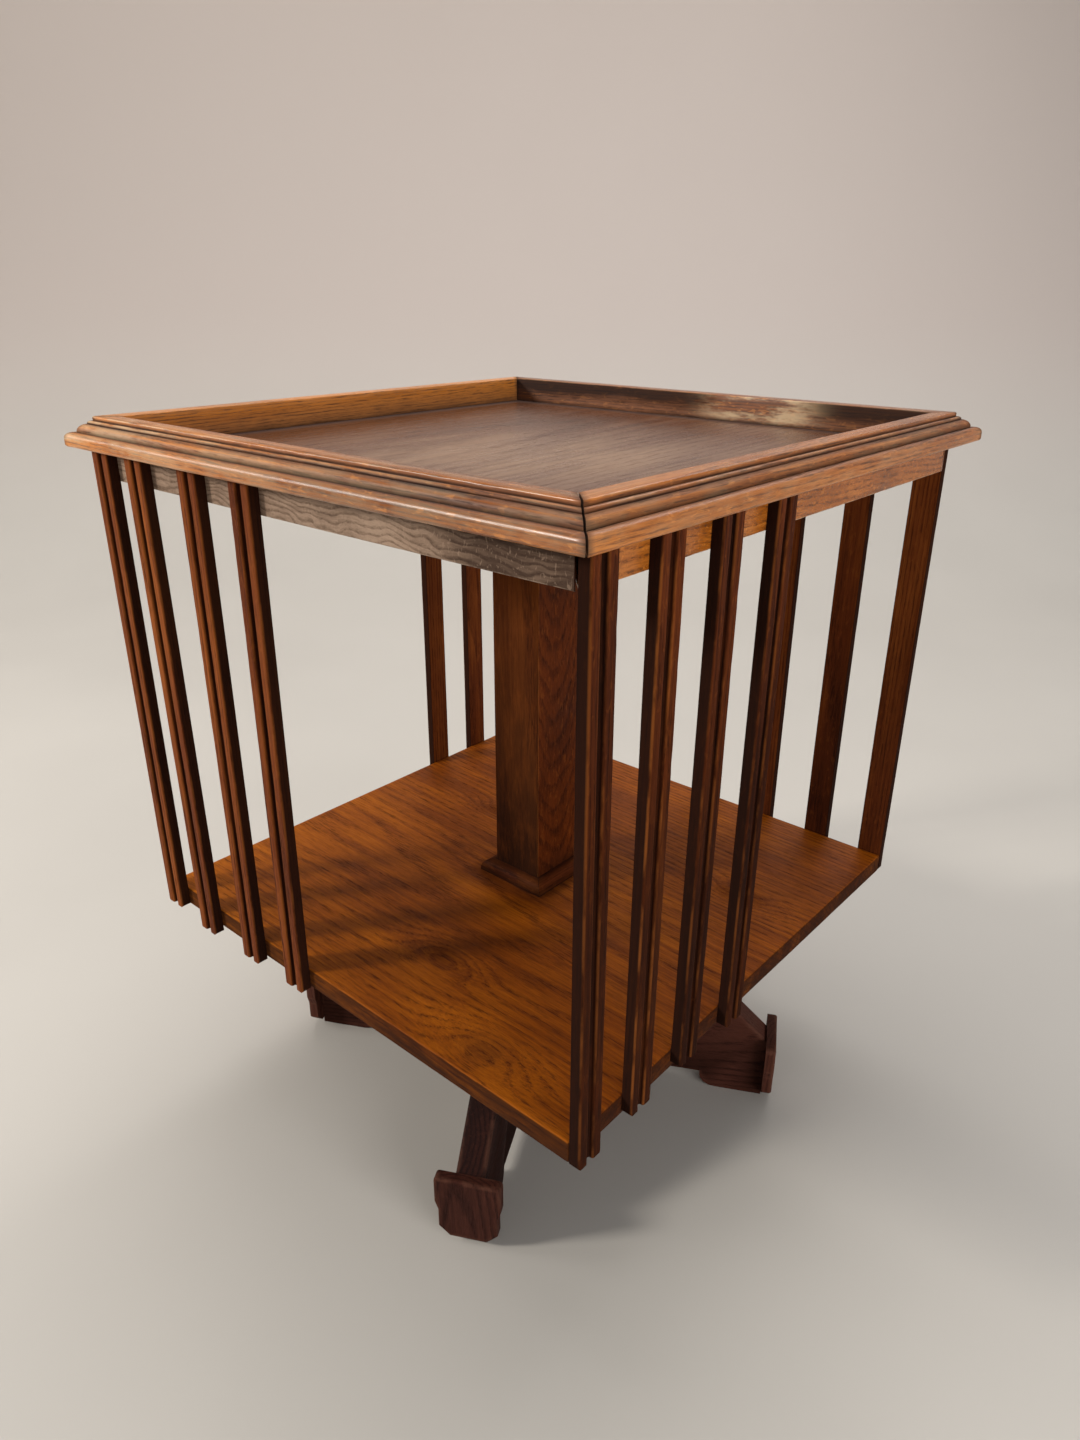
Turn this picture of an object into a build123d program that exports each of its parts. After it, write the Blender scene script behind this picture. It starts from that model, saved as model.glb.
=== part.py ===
"""Table-top revolving bookcase: a square slatted case with a tray top, turning on a cross base.

Millimetres, +Z up, origin on the ground under the turning axis. The case stands square to X and Y
with its front towards -Y, and the cross base is turned under it by base_turn.
"""

import os
from math import cos, radians, sin

from build123d import *

# Cross base
base_height = 140.0
base_turn = 28.0
beam_thickness = 17.0
hub_length = 133.0
foot_reach = 166.0
arm_end_height = 45.0
arch_height = 11.5
pad_length = 42.0
pad_round = 11.0
beam_edge_round = 1.2
halving_gap = 0.1
turntable_gap = 6.0

# Foot plates
plate_thickness = 6.5
plate_bottom = 4.0
plate_top = 47.0
plate_foot_width = 35.0
plate_ear_width = 39.0
plate_ear_height = 26.0
plate_ear_run = 6.0
plate_corner_clip = 6.5
plate_top_round = 2.5
plate_edge_round = 1.2

# Pivot
spindle_diameter = 12.0
spindle_flange_diameter = 60.0
spindle_flange_thickness = 3.0
spigot_diameter = 7.0
spigot_length = 36.0
spindle_tip_chamfer = 1.0
running_gap = 0.05
thrust_gap = 0.2
washer_diameter = 34.0
washer_bore_gap = 0.4
bush_wall = 1.5
bush_flange_diameter = 32.0
bush_flange_thickness = 2.0
bush_fit_gap = 0.1
pivot_block_height = 30.0
pivot_bush_length = 24.0
spindle_tip_gap = 1.0

# Bottom shelf
shelf_width = 330.0
shelf_thickness = 12.0
shelf_edge_round = 1.2

# Centre post, a hollow box of four mitred boards
post_width = 36.0
post_board = 8.0
post_edge_ease = 0.8
bead_width = 7.5
bead_height = 8.0
bead_fillet = 1.2
bead_bulge = 1.8

# Aprons and tray
bay_height = 255.3
apron_height = 17.1
apron_thickness = 10.0
apron_edge_round = 0.8
apron_tip_gap = 2.5
mitre_gap = 0.2
panel_thickness = 9.0
panel_rebate = 6.0
panel_gap = 0.5

# Tray moulding: offsets run out from the shelf's edge plane, heights up from the moulding's underside
moulding_height = 15.8
lip_inset = 8.0
lip_reach = 2.2
lip_round = 0.8
reed_top = 13.4
reed_reach = 4.6
reed_bottom = 11.9
reed_bulge = 0.5
torus_reach = 8.9
torus_bottom = 7.6
torus_bulge = 1.0
quirk_reach = 11.0
nosing_reach = 13.9
nosing_shoulder = 4.6
nosing_bulge = 0.8
nosing_round = 1.6

# Slats: each start is the distance from the side's left end, seen from outside, to the foot's left edge
slat_width = 16.2
slat_thickness = 6.0
slat_edge_round = 1.2
slat_groove_width = 3.6
slat_groove_depth = 2.4
slat_groove_round = 0.7
slat_groove_ease = 1.3
slat_end_clip = 1.2
slat_starts = {
    "front": (0.3, 37.2, 83.0, 125.0),
    "right": (0.4, 39.5, 80.6, 124.9),
    "back": (0.0, 40.0, 83.5, 128.5),
    "left": (0.0, 42.8, 84.5),
}
# How far each slat's top leans to the right of its foot, seen from outside
slat_leans = {
    "front": (-2.8, -5.8, -1.3, 0.8),
    "right": (-1.5, 1.6, 3.4, 3.6),
    "back": (0.0, 0.0, 0.0, 0.0),
    "left": (0.0, 0.0, 0.0),
}
# How far each slat ends below the shelf's underside
slat_drops = {
    "front": (0.0, 3.6, 2.5, 1.4),
    "right": (1.1, -1.8, -3.5, 0.0),
    "back": (0.0, 0.0, 0.0, 0.0),
    "left": (0.0, 0.0, 0.0),
}

# Brads and screws
brad_diameter = 1.6
brad_bite = 4.0
brad_sink = 0.3
screw_diameter = 3.5
screw_head_diameter = 7.0
screw_length = 22.0
screw_circle = 42.0
fastener_gap = 0.2

# Levels and half sizes that follow from the sizes above
hub_top = base_height - turntable_gap
hub_half = hub_length / 2
beam_end = foot_reach - plate_thickness
pad_inner = beam_end - pad_length
joint_level = (hub_top + arch_height) / 2
flange_top = hub_top + spindle_flange_thickness
shelf_top = base_height + shelf_thickness
apron_bottom = shelf_top + bay_height
apron_top = apron_bottom + apron_height
panel_bottom = apron_top - panel_thickness
shelf_half = shelf_width / 2
post_half = post_width / 2
post_inner = post_half - post_board
apron_inner = shelf_half - apron_thickness
panel_width = 2 * (apron_inner + panel_rebate - panel_gap)
bush_bore_radius = spindle_diameter / 2 + running_gap
bush_outer_radius = bush_bore_radius + bush_wall
block_bottom = panel_bottom - pivot_block_height
spindle_top = block_bottom + pivot_bush_length - spindle_tip_gap
screw_head_depth = (screw_head_diameter - screw_diameter) / 2
brad_levels = (base_height + shelf_thickness / 2, (apron_bottom + panel_bottom) / 2)
sides = {"front": 0.0, "right": 90.0, "back": 180.0, "left": 270.0}


def outward_of(turn):
    """Direction out of the side at this turn about the axis."""
    return Vector(sin(radians(turn)), -cos(radians(turn)), 0)


def rightward_of(turn):
    """Direction to the right along the side, seen from outside."""
    return Vector(cos(radians(turn)), sin(radians(turn)), 0)


def face_plane(turn, distance):
    """Upright plane that faces out of a side: X to the right, Y up."""
    return Plane(outward_of(turn) * distance, rightward_of(turn), outward_of(turn))


def section_plane(turn, height):
    """Upright plane across a side, through the axis: X outward, Y up from this height."""
    return Plane((0, 0, height), outward_of(turn), rightward_of(turn) * -1)


def plan_plane(turn, height):
    """Level plane: X to the right along a side, Y inward."""
    return Plane((0, 0, height), rightward_of(turn), (0, 0, 1))


def mitre_plane(turn, end):
    """Mitre at a side's right (end = 1) or left (end = -1), half the mitre gap inside the corner line."""
    normal = (rightward_of(turn) * end - outward_of(turn)).normalized()
    return Plane(normal * (-mitre_gap / 2), z_dir=normal)


def slat_centres(side, level):
    """Slat middles at a level, from the side's middle."""
    way = (level - base_height) / (apron_top - base_height)
    return [
        start + lean * way + slat_width / 2 - shelf_half
        for start, lean in zip(slat_starts[side], slat_leans[side])
    ]


os.makedirs("parts", exist_ok=True)

# Side outline that both beams of the cross share
with BuildSketch() as beam_outline:
    with BuildLine():
        Polyline(
            (hub_half, hub_top),
            (beam_end, arm_end_height),
            (beam_end, 0),
            (pad_inner, 0),
            (pad_inner, arch_height),
            (-pad_inner, arch_height),
            (-pad_inner, 0),
            (-beam_end, 0),
            (-beam_end, arm_end_height),
            (-hub_half, hub_top),
            close=True,
        )
    make_face()
    pad_corners = beam_outline.vertices().group_by(Axis.Y)[0].sort_by(Axis.X)[1:3]
    fillet(pad_corners, min(pad_round, 0.9 * arch_height))

# Lower beam of the cross, notched from above
with BuildPart() as lower_beam:
    with BuildSketch(face_plane(base_turn, 0)):
        add(beam_outline.sketch)
    extrude(amount=beam_thickness / 2, both=True)
    arrises = lower_beam.edges().filter_by_position(Axis.Z, arm_end_height, hub_top, (False, True))
    fillet(arrises.filter_by(GeomType.LINE).sort_by(Edge.length)[-6:], beam_edge_round)
    with BuildSketch(face_plane(base_turn, 0)):
        with Locations((0, (joint_level + hub_top) / 2)):
            Rectangle(beam_thickness + 2 * halving_gap, hub_top - joint_level)
    extrude(amount=beam_thickness, both=True, mode=Mode.SUBTRACT)
    with BuildSketch(Plane.XY.offset(hub_top)):
        with PolarLocations(screw_circle / 2, 2, base_turn):
            Circle(screw_diameter / 2 + fastener_gap)
    extrude(amount=-screw_length, mode=Mode.SUBTRACT)
lower_beam.part.label = "cross_beam_lower"
export_step(lower_beam.part, "parts/cross_beam_lower.step")

# Upper beam of the cross, notched from below and bored for the spindle's spigot
with BuildPart() as upper_beam:
    with BuildSketch(face_plane(base_turn + 90, 0)):
        add(beam_outline.sketch)
    extrude(amount=beam_thickness / 2, both=True)
    arrises = upper_beam.edges().filter_by_position(Axis.Z, arm_end_height, hub_top, (False, True))
    fillet(arrises.filter_by(GeomType.LINE).sort_by(Edge.length)[-6:], beam_edge_round)
    with BuildSketch(face_plane(base_turn + 90, 0)):
        with Locations((0, (arch_height + joint_level) / 2)):
            Rectangle(beam_thickness + 2 * halving_gap, joint_level - arch_height)
    extrude(amount=beam_thickness, both=True, mode=Mode.SUBTRACT)
    with BuildSketch(Plane.XY.offset(hub_top)):
        Circle(spigot_diameter / 2 + fastener_gap)
        with PolarLocations(screw_circle / 2, 2, base_turn + 90):
            Circle(screw_diameter / 2 + fastener_gap)
    extrude(amount=-spigot_length, mode=Mode.SUBTRACT)
upper_beam.part.label = "cross_beam_upper"
export_step(upper_beam.part, "parts/cross_beam_upper.step")

# Plates that close the four arm ends
for side, turn in sides.items():
    foot_turn = base_turn + turn
    with BuildPart() as foot_plate:
        with BuildSketch(face_plane(foot_turn, beam_end)) as plate_outline:
            with BuildLine():
                Polyline(
                    (plate_foot_width / 2 - plate_corner_clip, plate_bottom),
                    (plate_foot_width / 2, plate_bottom + plate_corner_clip),
                    (plate_foot_width / 2, plate_ear_height - plate_ear_run / 2),
                    (plate_ear_width / 2, plate_ear_height + plate_ear_run / 2),
                    (plate_ear_width / 2, plate_top),
                    (0, plate_top),
                    (0, plate_bottom),
                    close=True,
                )
            make_face()
            mirror(about=Plane.YZ)
            fillet(plate_outline.vertices().group_by(Axis.Y)[-1], plate_top_round)
        extrude(amount=plate_thickness)
        outer_face = foot_plate.faces().sort_by(Axis((0, 0, 0), outward_of(foot_turn)))[-1]
        fillet(outer_face.edges(), plate_edge_round)
    foot_plate.part.label = f"foot_plate_{side}"
    export_step(foot_plate.part, f"parts/foot_plate_{side}.step")

# Spindle: a screwed-down flange with a spigot below and a long pin above
with BuildPart() as spindle:
    with BuildSketch(Plane.XY.offset(hub_top)):
        Circle(spigot_diameter / 2)
    extrude(amount=-spigot_length)
    with BuildSketch(Plane.XY.offset(hub_top)):
        Circle(spindle_flange_diameter / 2)
    extrude(amount=spindle_flange_thickness)
    with BuildSketch(Plane.XY.offset(flange_top)):
        Circle(spindle_diameter / 2)
    extrude(amount=spindle_top - flange_top)
    chamfer(spindle.faces().sort_by(Axis.Z)[-1].edges(), spindle_tip_chamfer)
    with Locations((0, 0, flange_top)):
        with PolarLocations(screw_circle / 2, 4, base_turn):
            CounterSinkHole(
                screw_diameter / 2 + fastener_gap,
                screw_head_diameter / 2 + fastener_gap,
                spindle_flange_thickness,
                90,
            )
spindle.part.label = "spindle"
export_step(spindle.part, "parts/spindle.step")

# Countersunk screws through the spindle's flange into the cross
with BuildPart() as spindle_screws:
    with Locations((0, 0, flange_top)):
        with PolarLocations(screw_circle / 2, 4, base_turn):
            Cone(
                screw_diameter / 2,
                screw_head_diameter / 2,
                screw_head_depth,
                align=(Align.CENTER, Align.CENTER, Align.MAX),
            )
            Cylinder(
                screw_diameter / 2,
                screw_length,
                align=(Align.CENTER, Align.CENTER, Align.MAX),
            )
spindle_screws.part.label = "spindle_screws"
export_step(spindle_screws.part, "parts/spindle_screws.step")

# Thrust washer on the flange
with BuildPart() as thrust_washer:
    with BuildSketch(Plane.XY.offset(flange_top)):
        Circle(washer_diameter / 2)
        Circle(spindle_diameter / 2 + washer_bore_gap, mode=Mode.SUBTRACT)
    extrude(amount=base_height - thrust_gap - flange_top)
thrust_washer.part.label = "thrust_washer"
export_step(thrust_washer.part, "parts/thrust_washer.step")

# Bottom shelf
with BuildPart() as bottom_shelf:
    with BuildSketch(Plane.XY.offset(base_height)):
        Rectangle(shelf_width, shelf_width)
    extrude(amount=shelf_thickness)
    fillet(bottom_shelf.edges(), shelf_edge_round)
    with BuildSketch(Plane.XY.offset(base_height)):
        Circle(bush_outer_radius + bush_fit_gap)
    extrude(amount=shelf_thickness, mode=Mode.SUBTRACT)
    with BuildSketch(Plane.XY.offset(base_height)):
        Circle(bush_flange_diameter / 2 + bush_fit_gap)
    extrude(amount=bush_flange_thickness, mode=Mode.SUBTRACT)
    for side, turn in sides.items():
        with BuildSketch(face_plane(turn, shelf_half)):
            with Locations([(centre, brad_levels[0]) for centre in slat_centres(side, brad_levels[0])]):
                Circle(brad_diameter / 2 + fastener_gap)
        extrude(amount=-brad_bite, mode=Mode.SUBTRACT)
bottom_shelf.part.label = "bottom_shelf"
export_step(bottom_shelf.part, "parts/bottom_shelf.step")

# Flanged bush in the shelf
with BuildPart() as shelf_bush:
    with BuildSketch(Plane.XY.offset(base_height)):
        Circle(bush_flange_diameter / 2)
    extrude(amount=bush_flange_thickness)
    with BuildSketch(Plane.XY.offset(base_height)):
        Circle(bush_outer_radius)
    extrude(amount=shelf_thickness)
    with BuildSketch(Plane.XY.offset(base_height)):
        Circle(bush_bore_radius)
    extrude(amount=shelf_thickness, mode=Mode.SUBTRACT)
shelf_bush.part.label = "shelf_bush"
export_step(shelf_bush.part, "parts/shelf_bush.step")

# Centre post boards and the bead mouldings round the post's foot
for side, turn in sides.items():
    with BuildPart() as post_board_piece:
        with BuildSketch(plan_plane(turn, shelf_top)):
            with BuildLine():
                Polyline(
                    (post_half - post_edge_ease, -post_half),
                    (post_half - post_edge_ease / 2, post_edge_ease / 2 - post_half),
                    (post_inner, -post_inner),
                    (-post_inner, -post_inner),
                    (post_edge_ease / 2 - post_half, post_edge_ease / 2 - post_half),
                    (post_edge_ease - post_half, -post_half),
                    close=True,
                )
            make_face()
        extrude(amount=panel_bottom - shelf_top)
    post_board_piece.part.label = f"post_board_{side}"
    export_step(post_board_piece.part, f"parts/post_board_{side}.step")

    with BuildPart() as post_bead:
        with BuildSketch(section_plane(turn, shelf_top)):
            with BuildLine():
                Polyline(
                    (post_half + bead_fillet, bead_height),
                    (post_half, bead_height),
                    (post_half, 0),
                    (post_half + bead_width, 0),
                    (post_half + bead_width, bead_fillet),
                )
                SagittaArc(
                    (post_half + bead_width, bead_fillet),
                    (post_half + bead_fillet, bead_height),
                    -bead_bulge,
                )
            make_face()
        extrude(amount=post_half + bead_width + mitre_gap, both=True)
        split(bisect_by=mitre_plane(turn, 1), keep=Keep.BOTTOM)
        split(bisect_by=mitre_plane(turn, -1), keep=Keep.BOTTOM)
    post_bead.part.label = f"post_bead_{side}"
    export_step(post_bead.part, f"parts/post_bead_{side}.step")

# Block in the top of the post, with the upper bush
with BuildPart() as pivot_block:
    with BuildSketch(Plane.XY.offset(block_bottom)):
        Rectangle(2 * (post_inner - fastener_gap), 2 * (post_inner - fastener_gap))
    extrude(amount=pivot_block_height)
    with BuildSketch(Plane.XY.offset(block_bottom)):
        Circle(bush_outer_radius + bush_fit_gap)
    extrude(amount=pivot_bush_length, mode=Mode.SUBTRACT)
pivot_block.part.label = "pivot_block"
export_step(pivot_block.part, "parts/pivot_block.step")

with BuildPart() as pivot_bush:
    with BuildSketch(Plane.XY.offset(block_bottom)):
        Circle(bush_outer_radius)
        Circle(bush_bore_radius, mode=Mode.SUBTRACT)
    extrude(amount=pivot_bush_length)
pivot_bush.part.label = "pivot_bush"
export_step(pivot_bush.part, "parts/pivot_bush.step")

# Aprons under the tray, mitred, with a rebate for the tray panel
for side, turn in sides.items():
    with BuildPart() as apron:
        with BuildSketch(section_plane(turn, apron_bottom)) as apron_section:
            with BuildLine():
                Polyline(
                    (apron_inner, 0),
                    (shelf_half, 0),
                    (shelf_half, apron_height),
                    (apron_inner + panel_rebate, apron_height),
                    (apron_inner + panel_rebate, apron_height - panel_thickness),
                    (apron_inner, apron_height - panel_thickness),
                    close=True,
                )
            make_face()
            fillet(apron_section.vertices().group_by(Axis.Y)[0], apron_edge_round)
        extrude(amount=shelf_half, both=True)
        split(bisect_by=mitre_plane(turn, 1), keep=Keep.BOTTOM)
        split(bisect_by=mitre_plane(turn, -1), keep=Keep.BOTTOM)
        tip_plane = Plane(
            rightward_of(turn) * (shelf_half - apron_tip_gap),
            z_dir=rightward_of(turn),
        )
        split(bisect_by=tip_plane, keep=Keep.BOTTOM)
        with BuildSketch(face_plane(turn, shelf_half)):
            with Locations([(centre, brad_levels[1]) for centre in slat_centres(side, brad_levels[1])]):
                Circle(brad_diameter / 2 + fastener_gap)
        extrude(amount=-brad_bite, mode=Mode.SUBTRACT)
    apron.part.label = f"apron_{side}"
    export_step(apron.part, f"parts/apron_{side}.step")

# Tray panel, let into the aprons
with BuildPart() as tray_panel:
    with BuildSketch(Plane.XY.offset(panel_bottom)):
        Rectangle(panel_width, panel_width)
    extrude(amount=panel_thickness)
tray_panel.part.label = "tray_panel"
export_step(tray_panel.part, "parts/tray_panel.step")

# Tray mouldings: lip, reed, torus and nosing, mitred at the corners
for side, turn in sides.items():
    with BuildPart() as tray_moulding:
        with BuildSketch(section_plane(turn, apron_top)) as moulding_section:
            with BuildLine():
                Polyline(
                    (shelf_half + nosing_reach - nosing_round, 0),
                    (shelf_half - lip_inset, 0),
                    (shelf_half - lip_inset, moulding_height),
                    (shelf_half + lip_reach, moulding_height),
                    (shelf_half + lip_reach, reed_top),
                )
                SagittaArc(
                    (shelf_half + lip_reach, reed_top),
                    (shelf_half + reed_reach, reed_bottom),
                    reed_bulge,
                )
                SagittaArc(
                    (shelf_half + reed_reach, reed_bottom),
                    (shelf_half + torus_reach, torus_bottom),
                    torus_bulge,
                )
                Line((shelf_half + torus_reach, torus_bottom), (shelf_half + quirk_reach, torus_bottom))
                SagittaArc(
                    (shelf_half + quirk_reach, torus_bottom),
                    (shelf_half + nosing_reach, nosing_shoulder),
                    nosing_bulge,
                )
                Line(
                    (shelf_half + nosing_reach, nosing_shoulder),
                    (shelf_half + nosing_reach, nosing_round),
                )
                RadiusArc(
                    (shelf_half + nosing_reach, nosing_round),
                    (shelf_half + nosing_reach - nosing_round, 0),
                    nosing_round,
                )
            make_face()
            fillet(moulding_section.vertices().group_by(Axis.Y)[-1], lip_round)
        extrude(amount=shelf_half + nosing_reach + mitre_gap, both=True)
        split(bisect_by=mitre_plane(turn, 1), keep=Keep.BOTTOM)
        split(bisect_by=mitre_plane(turn, -1), keep=Keep.BOTTOM)
    tray_moulding.part.label = f"tray_moulding_{side}"
    export_step(tray_moulding.part, f"parts/tray_moulding_{side}.step")

# Slats, grooved down the middle, on the outside of the shelf and the aprons
for side, turn in sides.items():
    for number, (lean, drop) in enumerate(zip(slat_leans[side], slat_drops[side]), start=1):
        slat_foot = base_height - drop
        centre = slat_centres(side, slat_foot)[number - 1]
        slat_rise = rightward_of(turn) * lean / (apron_top - base_height) + Vector(0, 0, 1)
        with BuildPart() as slat:
            with BuildSketch(plan_plane(turn, slat_foot)) as slat_section:
                with Locations((centre, -shelf_half - slat_thickness / 2)):
                    Rectangle(slat_width, slat_thickness)
                fillet(slat_section.vertices().group_by(Axis.Y)[0], slat_edge_round)
                with Locations((centre, -shelf_half - slat_thickness)):
                    RectangleRounded(
                        slat_groove_width,
                        2 * slat_groove_depth,
                        min(slat_groove_round, 0.45 * slat_groove_width),
                        mode=Mode.SUBTRACT,
                    )
                groove_edges = slat_section.vertices().group_by(Axis.Y)[0].sort_by(Axis.X)[1:3]
                fillet(groove_edges, slat_groove_ease)
            extrude(amount=(apron_top - slat_foot) * slat_rise.length, dir=slat_rise)
            with BuildSketch(face_plane(turn, shelf_half)):
                with Locations((centre, slat_foot)):
                    with GridLocations(slat_width, 1, 2, 1):
                        Rectangle(slat_end_clip * 2**0.5, slat_end_clip * 2**0.5, 45)
                with Locations([(slat_centres(side, level)[number - 1], level) for level in brad_levels]):
                    Circle(brad_diameter / 2 + fastener_gap)
            extrude(amount=slat_thickness, mode=Mode.SUBTRACT)
        slat.part.label = f"slat_{side}_{number}"
        export_step(slat.part, f"parts/slat_{side}_{number}.step")

# Brads that hold the slats, sunk in the grooves
with BuildPart() as slat_brads:
    for side, turn in sides.items():
        with BuildSketch(face_plane(turn, shelf_half - brad_bite)):
            for level in brad_levels:
                with Locations([(centre, level) for centre in slat_centres(side, level)]):
                    Circle(brad_diameter / 2)
        extrude(amount=brad_bite + slat_thickness - slat_groove_depth - brad_sink)
slat_brads.part.label = "slat_brads"
export_step(slat_brads.part, "parts/slat_brads.step")
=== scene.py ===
"""Looks of a table-top revolving bookcase: worn oak pieces over the packed frame, and a plain stage."""

from collections import namedtuple
from math import asin, copysign, degrees, exp, hypot, pi, radians, sin

import bmesh
import bpy
from bpy.props import FloatProperty, FloatVectorProperty, PointerProperty
from bpy.types import NodeSocket, Operator, Panel, PropertyGroup
from mathutils import Matrix, Vector, noise


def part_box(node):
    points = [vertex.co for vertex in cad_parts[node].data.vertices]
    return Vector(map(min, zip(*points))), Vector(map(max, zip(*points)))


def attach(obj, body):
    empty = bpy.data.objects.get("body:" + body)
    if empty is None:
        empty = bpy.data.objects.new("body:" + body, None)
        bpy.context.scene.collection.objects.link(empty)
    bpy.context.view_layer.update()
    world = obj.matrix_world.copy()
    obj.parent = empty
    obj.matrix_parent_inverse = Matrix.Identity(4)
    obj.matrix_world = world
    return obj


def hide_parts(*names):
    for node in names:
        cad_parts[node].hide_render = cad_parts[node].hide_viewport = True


bl_info = {
    "name": "Revolving Bookcase",
    "version": (1, 0, 0),
    "blender": (4, 5, 0),
    "location": "3D View > Sidebar > Bookcase",
    "description": "Worn oak revolving bookcase with a reeded tray top, and a plain pale stage",
    "category": "Object",
}

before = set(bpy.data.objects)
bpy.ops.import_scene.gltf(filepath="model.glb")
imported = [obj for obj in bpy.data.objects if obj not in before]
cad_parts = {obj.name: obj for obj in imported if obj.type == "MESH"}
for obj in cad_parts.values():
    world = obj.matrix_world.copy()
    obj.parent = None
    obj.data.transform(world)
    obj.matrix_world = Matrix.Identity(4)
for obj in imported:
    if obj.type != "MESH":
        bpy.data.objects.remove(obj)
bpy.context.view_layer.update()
MM = 0.001
TINY = 1e-6
X, Y, Z = Vector((1, 0, 0)), Vector((0, 1, 0)), Vector((0, 0, 1))
SIDES = {"front": 0.0, "right": 90.0, "back": 180.0, "left": 270.0}

SHELF_LOW, SHELF_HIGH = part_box("bottom_shelf")
APRON_LOW, APRON_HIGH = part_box("apron_front")
PANEL_LOW, PANEL_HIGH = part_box("tray_panel")
MOULD_LOW, MOULD_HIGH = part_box("tray_moulding_front")
POST_LOW, POST_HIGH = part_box("post_board_front")
BEAD_LOW, BEAD_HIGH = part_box("post_bead_front")
SHELF_HALF = SHELF_HIGH.x
APRON_THICKNESS = APRON_HIGH.y - APRON_LOW.y
POST_HALF = -POST_LOW.y

# Each slat's lean in mm, from the shelf's underside to the apron's top, and its depth of colour from dark
# to pale.
SLAT_LEANS = {
    "front": (-2.8, -5.8, -1.3, 0.8), "right": (-1.5, 1.6, 3.4, 3.6),
    "back": (0.0, 0.0, 0.0, 0.0), "left": (0.0, 0.0, 0.0),
}
SLAT_TONES = {
    "front": (0.62, 0.64, 0.58, 0.56), "right": (0.04, 0.24, 0.02, 0.04),
    "back": (0.44, 0.38, 0.52, 0.60), "left": (0.60, 0.54, 0.64),
}
# Painted shade at the lower ends of the slats by side and how steeply it sets in, and on their edges worn
# wood together with painted highlights.
FOOT_SHADE = {"front": 0.10, "right": 0.90, "back": 0.50, "left": 0.20}
FOOT_SHADE_GAIN = 1.7
SLAT_WEAR_AND_HIGHLIGHT, MORE_WEAR_AND_HIGHLIGHT = 0.45, {"slat_right_2": 0.7}
# Tones of the other pieces. By side and by piece, the tones of the mouldings, foot plates and beams also
# stand in for light: some are made lighter and some darker, as lit and shaded copies of one stain.
MOULDING_TONES = {"front": 0.14, "right": 0.38, "back": 0.10, "left": 1.20}
APRON_TONES = {"front": 0.84, "right": 0.38, "back": 0.38, "left": 0.38}
PLATE_TONES = {"front": 0.34, "right": 1.15, "back": 1.15, "left": 1.15}
BEAM_TONES = {"lower": 1.25, "upper": -0.30}
SHELF_TONE, TRAY_TONE, BEAD_TONE = 0.56, 0.30, 0.18
FLAT_CUT_POST_TONE, QUARTERED_POST_TONE = 0.26, 1.0
# Middle and reach in mm: knots of the shelf, the painted reflection of glare in the tray's middle, a pale
# patch inside the back moulding.
SHELF_KNOTS = (((26.0, -107.0), 13.0), ((94.0, -146.0), 15.0), ((-70.0, 40.0), 12.0), ((118.0, 60.0), 14.0))
TRAY_GLARE, TRAY_GLARE_REACH = (20.0, -35.0), 85.0
RAIL_PATCH_MIDDLE, RAIL_PATCH_REACH = -48.0, 38.0
# Darkening on other pieces, and for some the distance in metres over which it falls by one. The shelf is
# darker on its edges and underside; the ring round the post on the shelf and the dusk down the post's
# boards, mostly the front one, are painted shade; the tray's underside and inner edges and the post's foot
# take old soiling.
SHELF_UNDER_DARK, TRAY_UNDER_GRIME = 0.95, 0.7
SHELF_RING_SHADE, SHELF_RING_REACH = 0.5, 0.020
TRAY_EDGE_GRIME, TRAY_EDGE_REACH = 0.95, 0.011
POST_FOOT_GRIME, POST_FOOT_REACH = 0.6, 0.020
POST_DUSK, POST_DUSK_REACH = {"front": 1.05, "right": 0.05, "back": 0.05, "left": 0.05}, 0.40
# Lengths in mm over which the front moulding and, from a start, the front apron darken to the right, as
# painted light that falls off towards the right.
MOULDING_LIGHT_FALLOFF = 120.0
APRON_DARK_START, APRON_DARK_RUN = 75.0, 45.0

# How finely a piece is divided, how uneven it is and how deep its nicks are in mm, and its seed.
Rough = namedtuple("Rough", "cuts uneven nick seed")
SLAT_ROUGH = Rough(44, 0.12, 1.1, 0.0)
MOULDING_ROUGH = Rough(88, 0.10, 1.2, 31.0)
APRON_ROUGH = Rough(70, 0.10, 1.0, 41.0)
SHELF_ROUGH = Rough(66, 0.08, 0.9, 51.0)
TRAY_ROUGH = Rough(40, 0.06, 0.0, 61.0)
POST_ROUGH = Rough(40, 0.06, 0.8, 71.0)
BEAD_ROUGH = Rough(14, 0.06, 0.7, 81.0)
BEAM_SEED, PLATE_SEED = 91.0, 101.0
# Waves of the unevenness and of the nicks per metre, and the wave height at which a nick starts.
SLOW_WAVES, FINE_WAVES, DENT_START = 38.0, 120.0, 0.25
RIM_WEAR, RIM_MARGIN = 0.6, 1.5 * MM
SHARP_ANGLE = radians(38.0)

# Stage in metres, turned with the camera: the floor runs from near to far and folds up into the wall.
FLOOR_HALF, FLOOR_NEAR, FLOOR_FAR, WALL_HIGH, FLOOR_FOLD = 9.0, -5.0, 2.2, 4.0, 1.2
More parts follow.
